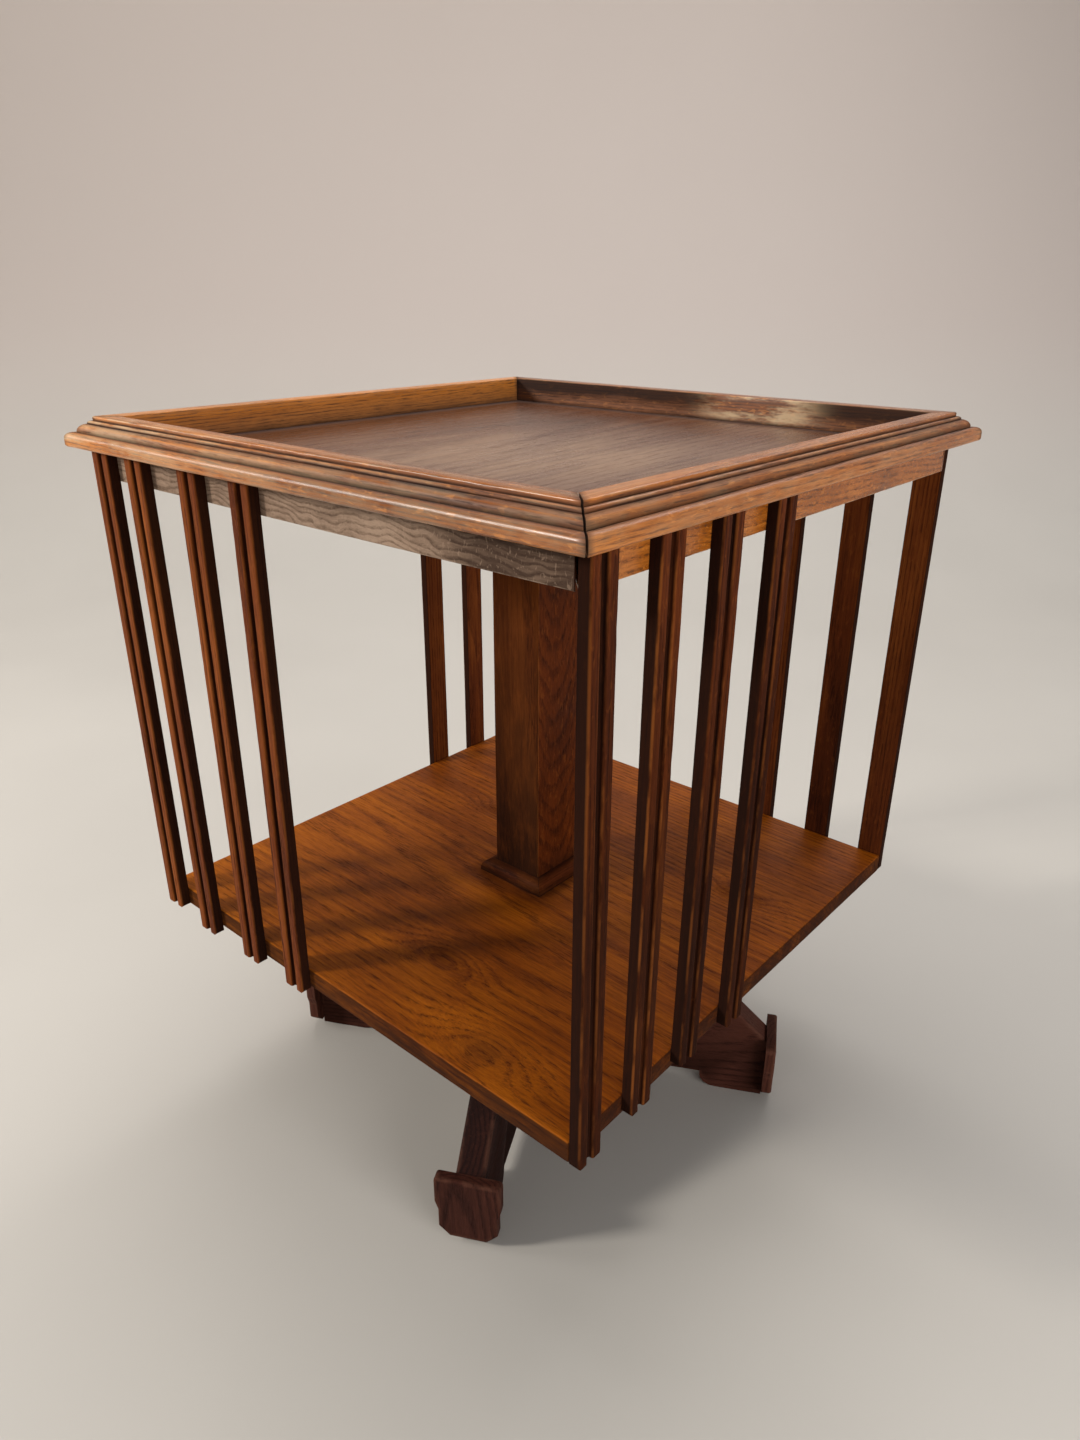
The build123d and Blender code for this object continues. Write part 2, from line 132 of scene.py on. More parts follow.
# Where the sight of the floor fades into haze, beside and before the bookcase.
FADE_BESIDE, FADE_BEFORE = (1.7, 2.4), (0.9, 1.6)
LAMP_AIM = Vector((0, 0, 0.22))
Lamp = namedtuple("Lamp", "name place size tint")
LAMPS = (
    Lamp("key", (-2.6, -0.61, 1.40), 0.38, (1.0, 0.95, 0.87)),
    Lamp("side", (-1.70, 0.12, 1.0), 0.45, (1.0, 0.97, 0.93)),
    Lamp("front", (1.3, -1.75, 0.70), 1.3, (1.0, 0.975, 0.95)),
    Lamp("top", (0.0, 0.4, 2.3), 1.4, (1.0, 0.985, 0.97)),
    Lamp("back", (0.9, 1.5, 2.0), 0.9, (1.0, 0.985, 0.97)),
)
EVEN_TINT = (0.93, 0.96, 1.0, 1.0)


def measure(name, value, words, **kind):
    """A number, with a unit or limits where they fit."""
    return FloatProperty(name=name, description=words, default=value, **kind)


def length(name, millimetres, words):
    """A length in metres with its default in millimetres."""
    return measure(name, millimetres * MM, words, unit="LENGTH", precision=5)


def angle(name, value, words):
    """An angle in radians with its default in degrees."""
    return measure(name, radians(value), words, subtype="ANGLE")


def power(name, watts, words):
    """The power of a lamp."""
    return measure(name, watts, words, unit="POWER")


def share(name, value, words):
    """A plain number between nought and one, or a little more."""
    return measure(name, value, words, min=0.0, soft_max=1.0)


def stain(name, red, green, blue, words):
    """A linear colour."""
    return FloatVectorProperty(
        name=name, description=words, default=(red, green, blue), subtype="COLOR", min=0.0, max=1.0
    )


def shape_group(title, words, **sizes):
    """A PropertyGroup of lengths in millimetres with their descriptions, and of ready properties."""
    fields = {
        key: length(key.replace("_", " ").capitalize(), *size) if isinstance(size, tuple) else size
        for key, size in sizes.items()
    }
    return type(title, (PropertyGroup,), {"__doc__": words, "__annotations__": fields})


MouldingShape = shape_group(
    "MouldingShape", "Section of the tray moulding, out from the shelf's edge and up from its underside.",
    lip_round=(0.8, "Round on both edges of the lip"),
    lip_reach=(2.2, "How far the lip's outer edge stands out"),
    reed_top=(13.4, "Height of the groove over the reed"),
    reed_reach=(4.6, "How far out the reed ends"),
    reed_bottom=(11.9, "Height of the groove under the reed"),
    reed_bulge=(0.55, "How far the reed's round stands off its chord"),
    torus_reach=(8.9, "How far out the torus ends"),
    torus_bottom=(7.6, "Height of the quirk under the torus"),
    torus_bulge=(1.0, "How far the torus stands off its chord"),
    quirk_reach=(11.0, "How far out the quirk ends"),
    nosing_shoulder=(4.6, "Height where the nosing turns upright"),
    nosing_bulge=(0.8, "How far the nosing's round stands off its chord"),
    nosing_round=(1.6, "Round on the nosing's lower edge"),
    quirk_depth=(0.7, "Depth of the fine grooves between the rounds"),
    mitre_gap=(0.2, "Open joint at the mitred corners"),
    open_mitre=(0.9, "Wider joint at the front corner"),
)
SlatShape = shape_group(
    "SlatShape", "Section and ends of the slats.",
    width=(16.2, "Width of a slat"),
    edge_round=(1.2, "Round on the outer long edges"),
    groove_width=(3.6, "Width of the groove down the middle"),
    groove_depth=(2.4, "Depth of that groove"),
    groove_round=(0.7, "Round in the bottom of the groove"),
    groove_ease=(1.3, "Round on the groove's lips"),
    end_clip=(1.2, "Clipped lower corners"),
)
CaseShape = shape_group(
    "CaseShape", "Small sizes of the shelf, post and aprons.",
    shelf_round=(1.2, "Eased shelf edges"),
    apron_round=(0.8, "Eased lower edges of the aprons"),
    apron_rebate=(6.0, "Step that takes the tray panel"),
    apron_tip_gap=(2.5, "How far an apron stops short of its right corner"),
    post_board=(8.0, "Thickness of the post's boards"),
    post_ease=(0.4, "Eased corners of the post"),
    bead_fillet=(1.2, "Flat under and over the bead's round"),
    bead_bulge=(1.8, "How far the bead's round stands off its chord"),
)
BaseShape = shape_group(
    "BaseShape", "Sizes of the cross and its foot plates.",
    turn=angle("Turn", 28.0, "Turn of the cross under the case"),
    beam_thickness=(17.0, "Thickness of both boards"),
    hub_length=(133.0, "Length of the level top"),
    foot_reach=(166.0, "Axis to the outside of a foot plate"),
    arm_end_height=(45.0, "Height of the arms at the plates"),
    arch_height=(11.5, "Height of the arch between the pads"),
    pad_length=(42.0, "Length of a pad"),
    pad_round=(10.35, "Round on the pads' inner ends"),
    edge_round=(1.2, "Eased upper edges"),
    halving_gap=(0.1, "Play in the halved joint"),
    plate_thickness=(6.5, "Thickness of the foot plates"),
    plate_bottom=(4.0, "Lower end over the ground"),
    plate_top=(47.0, "Upper end over the ground"),
    plate_foot_width=(35.0, "Width of the lower part"),
    plate_ear_width=(39.0, "Width of the upper part"),
    plate_ear_height=(26.0, "Height where the width changes"),
    plate_ear_run=(6.0, "Height that the change takes"),
    plate_corner_clip=(6.5, "Clipped lower corners"),
    plate_top_round=(2.5, "Rounded upper corners"),
    plate_edge_round=(1.2, "Eased outer edges"),
)


def oak_finish(title, words, pale, mid, deep, pores, worn, ring, waver, figure, dashes, fleck, gloss):
    """A PropertyGroup for one finish of the oak."""
    fields = {
        "pale": stain("Pale", *pale, "Lightest wood"),
        "mid": stain("Middle", *mid, "Most of the wood"),
        "deep": stain("Deep", *deep, "Darkest wood"),
        "pores": stain("Pores", *pores, "Stain in the pores"),
        # This colour also paints the shade on the slats' sides and lower ends, the post's boards and round
        # the post's foot.
        "grime": stain("Grime", 0.012, 0.0044, 0.0026, "Old wax and dirt in grooves and corners"),
        "worn": stain("Worn", *worn, "Rubbed edges"),
        "ring_width": length("Ring width", ring, "Width of a growth ring"),
        "waver": length("Waver", waver, "Slow wandering of the fibres"),
        "figure": share("Figure", figure, "Contrast of the growth rings"),
        "dashes": share("Dashes", dashes, "Contrast of the open pores"),
        "fleck": share("Fleck", fleck, "Strength of the ray flecks"),
        "gloss": share("Gloss", gloss, "Strength of the varnish"),
    }
    return type(title, (PropertyGroup,), {"__doc__": words, "__annotations__": fields})


# Its worn colour also paints highlights along the slats' edges.
AmberOak = oak_finish(
    "AmberOak", "Deep amber oak of slats and post.",
    (0.335, 0.090, 0.014), (0.152, 0.0315, 0.005), (0.043, 0.0083, 0.002), (0.012, 0.004, 0.002),
    (0.430, 0.130, 0.026), 2.6, 4.0, 0.14, 0.60, 0.22, 0.10,
)
# Its pale and worn colours also paint light on the front moulding's left end and on the left moulding.
GoldenOak = oak_finish(
    "GoldenOak", "Lighter, quarter-cut oak of the tray moulding and of three aprons.",
    (0.700, 0.250, 0.044), (0.410, 0.117, 0.012), (0.120, 0.031, 0.004), (0.030, 0.009, 0.003),
    (0.760, 0.570, 0.340), 2.0, 4.0, 0.14, 0.75, 0.45, 1.05,
)
# Its pale colour also paints light towards the left of the shelf's front.
ShelfOak = oak_finish(
    "ShelfOak", "Bright amber oak of the bottom shelf.",
    (0.520, 0.138, 0.003), (0.230, 0.049, 0.001), (0.054, 0.012, 0.001), (0.016, 0.004, 0.001),
    (0.300, 0.100, 0.024), 3.4, 6.0, 0.11, 0.65, 0.10, 0.22,
)
# Its pale colour also paints the reflection of glare in the tray's middle.
TrayOak = oak_finish(
    "TrayOak", "Brown oak of the tray floor.",
    (0.290, 0.162, 0.092), (0.112, 0.036, 0.012), (0.046, 0.015, 0.006), (0.022, 0.008, 0.004),
    (0.420, 0.260, 0.155), 5.0, 4.0, 0.12, 0.40, 0.10, 1.05,
)
GreyOak = oak_finish(
    "GreyOak", "Dull greyish oak of the front apron.",
    (0.390, 0.272, 0.195), (0.208, 0.136, 0.094), (0.068, 0.039, 0.026), (0.032, 0.018, 0.011),
    (0.500, 0.370, 0.270), 1.6, 14.0, 0.30, 0.35, 0.35, 0.10,
)
DarkOak = oak_finish(
    "DarkOak", "Dark-stained oak of the cross and its plates.",
    (0.085, 0.027, 0.017), (0.040, 0.0120, 0.008), (0.015, 0.0050, 0.004), (0.008, 0.003, 0.002),
    (0.140, 0.058, 0.036), 2.8, 5.0, 0.26, 0.50, 0.15, 0.08,
)


class StageLook(PropertyGroup):
    """Floor, light and camera."""

    floor: stain("Floor", 0.59, 0.560, 0.515, "Pale floor")
    wall: stain("Wall", 0.56, 0.490, 0.450, "Pale backdrop")
    haze: stain("Haze", 0.50, 0.470, 0.440, "Pale distance")
    world: share("World", 0.22, "Strength of the even light")
    key_power: power("Key", 51.0, "Lamp in front on the left")
    side_power: power("Side", 5.5, "Lamp further round on the left")
    front_power: power("Front", 24.0, "Wide lamp in front")
    top_power: power("Top", 24.0, "Wide lamp overhead")
    back_power: power("Back", 9.0, "Lamp behind")
    eye: FloatVectorProperty(
        name="Eye", description="Camera position", default=(0.3755, -0.4276, 0.5064), unit="LENGTH"
    )
    yaw: angle("Yaw", 41.02, "Turn to the left of +Y")
    pitch: angle("Pitch", 23.59, "Downward tilt")
    roll: angle("Roll", 0.21, "Roll about the line of sight")
    lens: measure("Lens", 25.10, "Focal length on a 36 mm long side", unit="CAMERA")


GROUPS = {
    "moulding": MouldingShape, "slat": SlatShape, "case": CaseShape, "base": BaseShape,
    "amber_oak": AmberOak, "golden_oak": GoldenOak, "shelf_oak": ShelfOak, "tray_oak": TrayOak,
    "grey_oak": GreyOak, "dark_oak": DarkOak, "stage": StageLook,
}


class BookcaseSettings(PropertyGroup):
    """All that a user would change."""

    __annotations__ = {name: PointerProperty(type=group) for name, group in GROUPS.items()}


class Bench:
    """Adds shader nodes to one new material or world and links them."""

    def __init__(self, owner):
        owner.use_nodes = True
        self.owner = owner
        self.tree = owner.node_tree
        self.tree.nodes.clear()

    def add(self, kind, **settings):
        made = self.tree.nodes.new("ShaderNode" + kind)
        for key, value in settings.items():
            setattr(made, key, value)
        return made

    def feed(self, sockets, *values):
        """Links or sets sockets, in order."""
        for socket, value in zip(sockets, values):
            if isinstance(value, NodeSocket):
                self.tree.links.new(value, socket)
            else:
                socket.default_value = value

    def fill(self, node, **values):
        """Links or sets inputs by name."""
        for name, value in values.items():
            self.feed((node.inputs[name.replace("_", " ")],), value)

    def attribute(self, name, output):
        return self.add("Attribute", attribute_type="GEOMETRY", attribute_name=name).outputs[output]

    def math(self, operation, *values, clamp=False):
        made = self.add("Math", operation=operation, use_clamp=clamp)
        self.feed(made.inputs, *values)
        return made.outputs["Value"]

    def total(self, start, *parts):
        """A start with each part added, times its weight."""
        for part, weight in parts:
            start = self.math("MULTIPLY_ADD", part, weight, start)
        return start

    def vector(self, operation, *values):
        made = self.add("VectorMath", operation=operation)
        self.feed(made.inputs, *values)
        return made.outputs["Value" if operation in ("LENGTH", "DOT_PRODUCT") else "Vector"]

    def in_mm(self, place):
        return self.vector("MULTIPLY", place, (1 / MM, 1 / MM, 1 / MM))

    def noise(self, place, stretch, detail=2.0, roughness=0.5, distortion=0.0, output="Fac"):
        made = self.add("TexNoise")
        self.fill(made, Vector=self.vector("MULTIPLY", place, stretch), Scale=1.0)
        self.fill(made, Detail=detail, Roughness=roughness, Distortion=distortion)
        return made.outputs[output]

    def step(self, value, low, high, to_low=0.0, to_high=1.0):
        made = self.add("MapRange", interpolation_type="SMOOTHSTEP")
        self.feed(made.inputs, value, low, high, to_low, to_high)
        return made.outputs["Result"]

    def ramp(self, value, *stops):
        made = self.add("ValToRGB")
        marks = made.color_ramp.elements
        while len(marks) < len(stops):
            marks.new(1.0)
        for mark, (place, colour) in zip(marks, stops):
            mark.position = place
            mark.color = (*colour, 1.0)
        self.feed(made.inputs, value)
        return made.outputs["Color"]

    def mix(self, factor, first, second):
        made = self.add("Mix", data_type="RGBA")
        colours = (value if isinstance(value, NodeSocket) else (*value, 1.0) for value in (first, second))
        self.feed((made.inputs[0], *made.inputs[6:8]), factor, *colours)
        return made.outputs[2]

    def shader(self, colour, roughness, height, bump, depth, **plain):
        """A surface with a fine relief; plain sets other inputs by name."""
        relief, made = self.add("Bump"), self.add("BsdfPrincipled")
        self.fill(relief, Strength=bump, Distance=depth, Height=height)
        self.fill(made, Base_Color=colour, Roughness=roughness, Normal=relief.outputs["Normal"], **plain)
        return made.outputs["BSDF"]

    def material(self, shader):
        """Ends a material with its shader."""
        self.feed(self.add("OutputMaterial").inputs, shader)
        return self.owner

    def seen(self):
        """One for rays that show a thing itself: to the eye, in a gloss or through glass."""
        path = self.add("LightPath").outputs
        shown = self.math("MAXIMUM", path["Is Camera Ray"], path["Is Glossy Ray"])
        return self.math("MAXIMUM", shown, path["Is Transmission Ray"])

    def blend(self, factor, first, second):
        """Mixes two shaders."""
        made = self.add("MixShader")
        self.feed(made.inputs, factor, first, second)
        return made.outputs["Shader"]


def new_material(name):
    """A bench for a new material."""
    return Bench(bpy.data.materials.new(name))


def oak_material(name, look):
    """Ring-porous oak: growth rings round a pith line, pores, ray flecks, grime and rubbed edges."""
    known = bpy.data.materials.get(name)
    if known:
        return known
    bench = new_material(name)
    place = bench.in_mm(bench.attribute("grain", "Vector"))
    # These layers carry the stain, worn edges and soiling of the wood, and on some pieces also painted
    # light, shade and highlights.
    tone, wear, grime = (bench.attribute(layer, "Fac") for layer in ("tone", "wear", "grime"))
    waver, ring_width = look.waver / MM, look.ring_width / MM

    drift = bench.noise(place, (0.0042, 0.020, 0.020), output="Color")
    drift = bench.vector("SUBTRACT", drift, (0.5, 0.5, 0.5))
    bent = bench.vector("ADD", place, bench.vector("MULTIPLY", drift, (0.0, waver, waver)))
    radius = bench.vector("LENGTH", bench.vector("MULTIPLY", bent, (0.0, 1.0, 1.0)))
    uneven = bench.noise(bent, (0.010, 0.10, 0.10), detail=3.0)
    ring = bench.math("FRACT", bench.math("DIVIDE", bench.total(radius, (uneven, 2.6)), ring_width))
    early = bench.ramp(
        ring, (0.0, (1, 1, 1)), (0.18, (0.85, 0.85, 0.85)), (0.42, (0.10, 0.10, 0.10)),
        (0.88, (0.0, 0.0, 0.0)), (1.0, (0.8, 0.8, 0.8)),
    )

    dashes = bench.step(bench.noise(bent, (0.080, 1.25, 1.25), detail=3.0, roughness=0.6), 0.50, 0.62)
    fine = bench.step(bench.noise(bent, (0.110, 2.60, 2.60)), 0.54, 0.62, 0.0, 0.75)
    pores = bench.math("MAXIMUM", dashes, fine)
    streak = bench.math("MULTIPLY", pores, bench.total(0.38, (early, 0.62)))
    fibre = bench.noise(bent, (0.010, 0.55, 0.55), detail=4.0, roughness=0.6)
    blotch = bench.noise(place, (0.0055, 0.014, 0.014), detail=3.0, roughness=0.55)
    bands = bench.noise(bent, (0.0035, 0.085, 0.085))
    fleck = bench.noise(bent, (0.16, 0.42, 0.42), detail=1.0, distortion=0.7)
    fleck = bench.math("MULTIPLY", bench.step(fleck, 0.60, 0.70), look.fleck)

    shade = bench.total(
        -0.31, (fibre, 0.62), (blotch, 1.05), (bands, 0.45), (early, -look.figure), (tone, 0.6)
    )
    shade = bench.math("ADD", shade, 0.3 * look.figure - 0.505, clamp=True)
    colour = bench.ramp(shade, (0.05, look.deep), (0.5, look.mid), (0.95, look.pale))
    colour = bench.mix(fleck, colour, look.pale)
    colour = bench.mix(bench.math("MULTIPLY", streak, look.dashes), colour, look.pores)

    patch = bench.noise(place, (0.03, 0.11, 0.11), detail=4.0, roughness=0.65)
    # Soiling here also paints shade, and dulls the surface.
    dirt_and_shade = bench.math("MULTIPLY", grime, bench.step(patch, 0.25, 0.60, 0.72, 1.0), clamp=True)
    colour = bench.mix(bench.math("MULTIPLY", dirt_and_shade, 0.92), colour, look.grime)
    # Rubbing here also paints highlights and light.
    rubbed_and_lit = bench.math("MULTIPLY", wear, bench.step(patch, 0.38, 0.62), clamp=True)
    colour = bench.mix(bench.math("MULTIPLY", rubbed_and_lit, 0.62), colour, look.worn)

    plain = 0.42 - 0.28 * look.gloss
    satin = bench.total(plain, (blotch, 0.18), (streak, 0.20), (bands, 0.10), (dirt_and_shade, 0.75))
    relief = bench.total(0.0, (fibre, 0.55), (streak, -0.8), (early, -0.18), (fleck, 0.5))
    return bench.material(bench.shader(
        colour, satin, relief, 0.34 - 0.24 * min(1.0, look.gloss), 0.25 * MM,
        Specular_IOR_Level=0.03 + 0.47 * look.gloss,
    ))


def metal_material(name, colour, dull, roughness, turned):
    """Turned or drawn metal with fine tool marks and a tarnish that gathers in patches."""
    bench = new_material(name)
    place = bench.in_mm(bench.add("TexCoord").outputs["Object"])
    marks = bench.noise(place, (0.25, 0.25, 4.0) if turned else (3.0, 3.0, 0.2), detail=3.0)
    tarnish = bench.step(bench.noise(place, (0.12, 0.12, 0.12), detail=4.0), 0.42, 0.68)
    tint = bench.mix(tarnish, colour, dull)
    satin = bench.total(roughness, (tarnish, 0.25), (marks, 0.12))
    return bench.material(bench.shader(tint, satin, marks, 0.2, 0.05 * MM, Metallic=1.0))


def block_material(name):
    """Pale unstained hardwood of the block inside the post."""
    bench = new_material(name)
    place = bench.in_mm(bench.add("TexCoord").outputs["Object"])
    fibre = bench.noise(place, (0.9, 0.9, 0.03), detail=4.0)
    colour = bench.ramp(fibre, (0.25, (0.30, 0.19, 0.10)), (0.75, (0.52, 0.37, 0.22)))
    satin = bench.step(fibre, 0.2, 0.8, 0.55, 0.7)
    return bench.material(bench.shader(colour, satin, fibre, 0.2, 0.1 * MM))


def arc_points(start, end, bulge, steps):
    """Points after start up to end, on the arc that stands off its chord by bulge to the left."""
    start, end = Vector(start), Vector(end)
    if not bulge:
        return [end]
    chord = end - start
    half = chord.length / 2
    radius = (half * half + bulge * bulge) / (2 * bulge)
    left = Vector((-chord.y, chord.x)).normalized()
    centre = (start + end) / 2 + left * (bulge - radius)
    sweep = -2 * copysign(asin(min(1.0, half / abs(radius))), bulge)
    spoke = start - centre
    return [centre + Matrix.Rotation(sweep * k / steps, 2) @ spoke for k in range(1, steps + 1)]


def corner_round(before, corner, after, radius, steps):
    """Points that round a corner of an outline."""
    before, corner, after = Vector(before), Vector(corner), Vector(after)
    to_before = (before - corner).normalized()
    to_after = (after - corner).normalized()
    opening = to_before.dot(to_after)
    reach = radius / max(TINY, ((1 - opening) / (1 + opening)) ** 0.5)
    first, last = corner + to_before * reach, corner + to_after * reach
    turning = to_before.x * to_after.y - to_before.y * to_after.x
    chord = (last - first).length
    bulge = radius - max(0.0, radius * radius - chord * chord / 4) ** 0.5
    return [first] + arc_points(first, last, copysign(bulge, turning), steps)


class Outline:
    """Points of a section with how rubbed and how dirty each one is."""

    def __init__(self):
        self.marks = []

    def to(self, point, wear=0.0, grime=0.0, bulge=0.0, crest=0.0, steps=6):
        """Goes on to a point, straight or on an arc whose crest has its own wear and no grime."""
        if not self.marks or not bulge:
            self.marks.append((Vector(point), wear, grime))
            return self
        start, old_wear, old_grime = self.marks[-1]
        for k, spot in enumerate(arc_points(start, point, bulge, steps), start=1):
            way = k / steps
            swell = sin(pi * way)
            plain_wear = old_wear + (wear - old_wear) * way
            plain_grime = old_grime + (grime - old_grime) * way
            mixed_wear = plain_wear + (crest - plain_wear) * swell
            self.marks.append((spot, mixed_wear, plain_grime * max(0.0, 1 - swell) ** 0.35))
        return self

    def rounded(self, before, corner, after, radius, wear=0.6, grime=(0.0, 0.0), steps=4):
        """Goes round a corner, with the most wear on its middle and grime from start to end."""
        for k, spot in enumerate(corner_round(before, corner, after, radius, steps)):
            way = k / steps
            dirty_and_shaded = grime[0] + (grime[1] - grime[0]) * way
            self.marks.append((spot, wear * sin(pi * way), dirty_and_shaded))
        return self

    def mirror(self, middle=0.0):
        """Goes back along the same points on the other side of the middle."""
        for point, wear, grime in self.marks[::-1]:
            self.marks.append((Vector((2 * middle - point.x, point.y)), wear, grime))
        return self


def prism(outline, spot, run):
    """A closed bmesh from an outline: spot places its points, run is the way it is drawn out."""
    bm = bmesh.new()
    wear = bm.verts.layers.float.new("wear")
    grime = bm.verts.layers.float.new("grime")
    ring = []
    for point, rubbed_and_lit, dirty_and_shaded in outline.marks:
        vert = bm.verts.new(spot(point))
        vert[wear] = rubbed_and_lit
        vert[grime] = dirty_and_shaded
        ring.append(vert)
    drawn = bmesh.ops.extrude_face_region(bm, geom=[bm.faces.new(ring)])["geom"]
    far = [item for item in drawn if isinstance(item, bmesh.types.BMVert)]
    bmesh.ops.translate(bm, verts=far, vec=run)
    return bm


def divide(bm, along, cuts):
    """Cuts the long edges of a prism into equal lengths."""
    longest = max(edge.calc_length() for edge in bm.edges)
    runs = [
        edge for edge in bm.edges
        if edge.calc_length() > 0.5 * longest
        and abs((edge.verts[1].co - edge.verts[0].co).normalized().dot(along)) > 0.999
    ]
    bmesh.ops.subdivide_edges(bm, edges=runs, cuts=cuts, use_grid_fill=True)


def column(outline, low, run, cuts):
    """An upright piece of the front side from its section."""
    bm = prism(outline, lambda p: Vector((p.x, -p.y, low)), run)
    divide(bm, Z, cuts)
    return bm


def rail(outline, half, low, gaps, cuts, out=0.0, stop=1.0):
    """A level piece of the front side with mitred ends, open by the left and the right gap."""
    bm = prism(outline, lambda p: Vector((-half, -(out + p.x), low + p.y)), Vector((2 * half, 0, 0)))
    left_gap, right_gap = (gap / 2 * 2**0.5 for gap in gaps)
    for vert in bm.verts:
        vert.co.x = min(stop, -vert.co.y - right_gap) if vert.co.x > 0 else vert.co.y + left_gap
    divide(bm, X, cuts)
    return bm


def ease(bm, edges, offset, segments=3):
    """Rounds edges."""
    bmesh.ops.bevel(
        bm, geom=edges, offset=offset, segments=segments, profile=0.5, affect="EDGES", material=-1
    )


def board(low, high, round_edge, cuts, rub):
    """A flat board with eased edges, and wear on those edges."""
    bm = bmesh.new()
    bmesh.ops.create_cube(bm, size=1.0)
    bmesh.ops.scale(bm, verts=bm.verts, vec=high - low)
    bmesh.ops.translate(bm, verts=bm.verts, vec=(high + low) / 2)
    bm.verts.layers.float.new("wear")
    bm.verts.layers.float.new("grime")
    ease(bm, bm.edges[:], round_edge)
    span = max(high - low)
    margin = 1.6 * round_edge
    for axis, normal in enumerate((X, Y, Z)):
        size = (high - low)[axis]
        if size < 0.3 * span:
            continue
        for way in [margin / size, 1 - margin / size] + [k / cuts for k in range(1, cuts)]:
            everything = bm.verts[:] + bm.edges[:] + bm.faces[:]
            bmesh.ops.bisect_plane(bm, geom=everything, plane_co=low.lerp(high, way), plane_no=normal)

    def on_edge(spot, old):
        gaps = sorted(min(spot[k] - low[k], high[k] - spot[k]) for k in range(3))
        return rub if gaps[1] < 0.9 * round_edge else 0.0

    paint(bm, "wear", on_edge)
    return bm


def paint(bm, name, rule):
    """Gives each vertex a new value in a layer, by a rule for its place and its old value."""
    layer = bm.verts.layers.float.get(name)
    for vert in bm.verts:
        vert[layer] = rule(vert.co, vert[layer])


def batter(bm, rough, seed):
    """Wears a piece a little unevenly, always inwards, with nicks where its edges are rubbed."""
    bmesh.ops.recalc_face_normals(bm, faces=bm.faces)
    bm.normal_update()
    depth, nick = rough.uneven * MM, rough.nick * MM
    wear = bm.verts.layers.float.get("wear")
    shift = Vector((seed * 3.7, seed * 1.3, seed * 2.1))
    for vert in bm.verts:
        slow = noise.noise(vert.co * SLOW_WAVES + shift)
        dent = max(0.0, noise.noise(vert.co * FINE_WAVES + shift) - DENT_START)
        vert.co -= vert.normal * (depth * (0.5 + 0.5 * slow) + nick * vert[wear] * dent)


def rub_rim(bm):
    """Keeps wear to the edges of a flat-faced piece, by an inset on each of its broad faces."""
    paint(bm, "wear", lambda spot, old: RIM_WEAR)
    broad = [face for face in bm.faces if min(edge.calc_length() for edge in face.edges) > 1.2 * RIM_MARGIN]
    broad += [face for face in bm.faces if len(face.verts) > 6 and face not in broad]
    bmesh.ops.inset_individual(bm, faces=broad, thickness=RIM_MARGIN, use_even_offset=True)
    layer = bm.verts.layers.float.get("wear")
    for face in broad:
        for vert in face.verts:
            vert[layer] = 0.0


def lay_grain(bm, along, across, pith, slope, seed, tone, swirl=1.0):
    """Stores the board's own coordinates: along the grain, across it and into it, from the pith in mm."""
    into = along.cross(across)
    grain = bm.verts.layers.float_vector.new("grain")
    shade = bm.verts.layers.float.new("tone")
    low = Vector(min(v.co[k] for v in bm.verts) for k in range(3))
    high = Vector(max(v.co[k] for v in bm.verts) for k in range(3))
    middle = (low + high) / 2
    for vert in bm.verts:
        local = vert.co - middle
        run = local.dot(along)
        side = local.dot(across) + pith[0] * MM + slope[0] * run
        deep = local.dot(into) + pith[1] * MM + slope[1] * run
        vert[grain] = (run * swirl + seed * 0.731, side, deep)
        vert[shade] = tone


def place_object(name, data):
    """A new object in the scene."""
    made = bpy.data.objects.new(name, data)
    bpy.context.collection.objects.link(made)
    return made


def smooth_mesh(bm, name, material):
    """Ends a bmesh as a smooth mesh with one material."""
    for face in bm.faces:
        face.smooth = True
    mesh = bpy.data.meshes.new(name)
    bm.to_mesh(mesh)
    bm.free()
    mesh.materials.append(material)
    return mesh


def make_piece(bm, node, body, material, turn=0.0):
    """Turns a front-side bmesh to its own side, makes it an object and ties it to the frame."""
    bmesh.ops.remove_doubles(bm, verts=bm.verts, dist=TINY)
    bmesh.ops.recalc_face_normals(bm, faces=bm.faces)
    bmesh.ops.rotate(bm, verts=bm.verts, cent=(0, 0, 0), matrix=Matrix.Rotation(radians(turn), 3, "Z"))
    mesh = smooth_mesh(bm, f"oak_{node}", material)
    mesh.set_sharp_from_angle(angle=SHARP_ANGLE)
    piece = place_object(mesh.name, mesh)
    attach(piece, body)
    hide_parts(node)


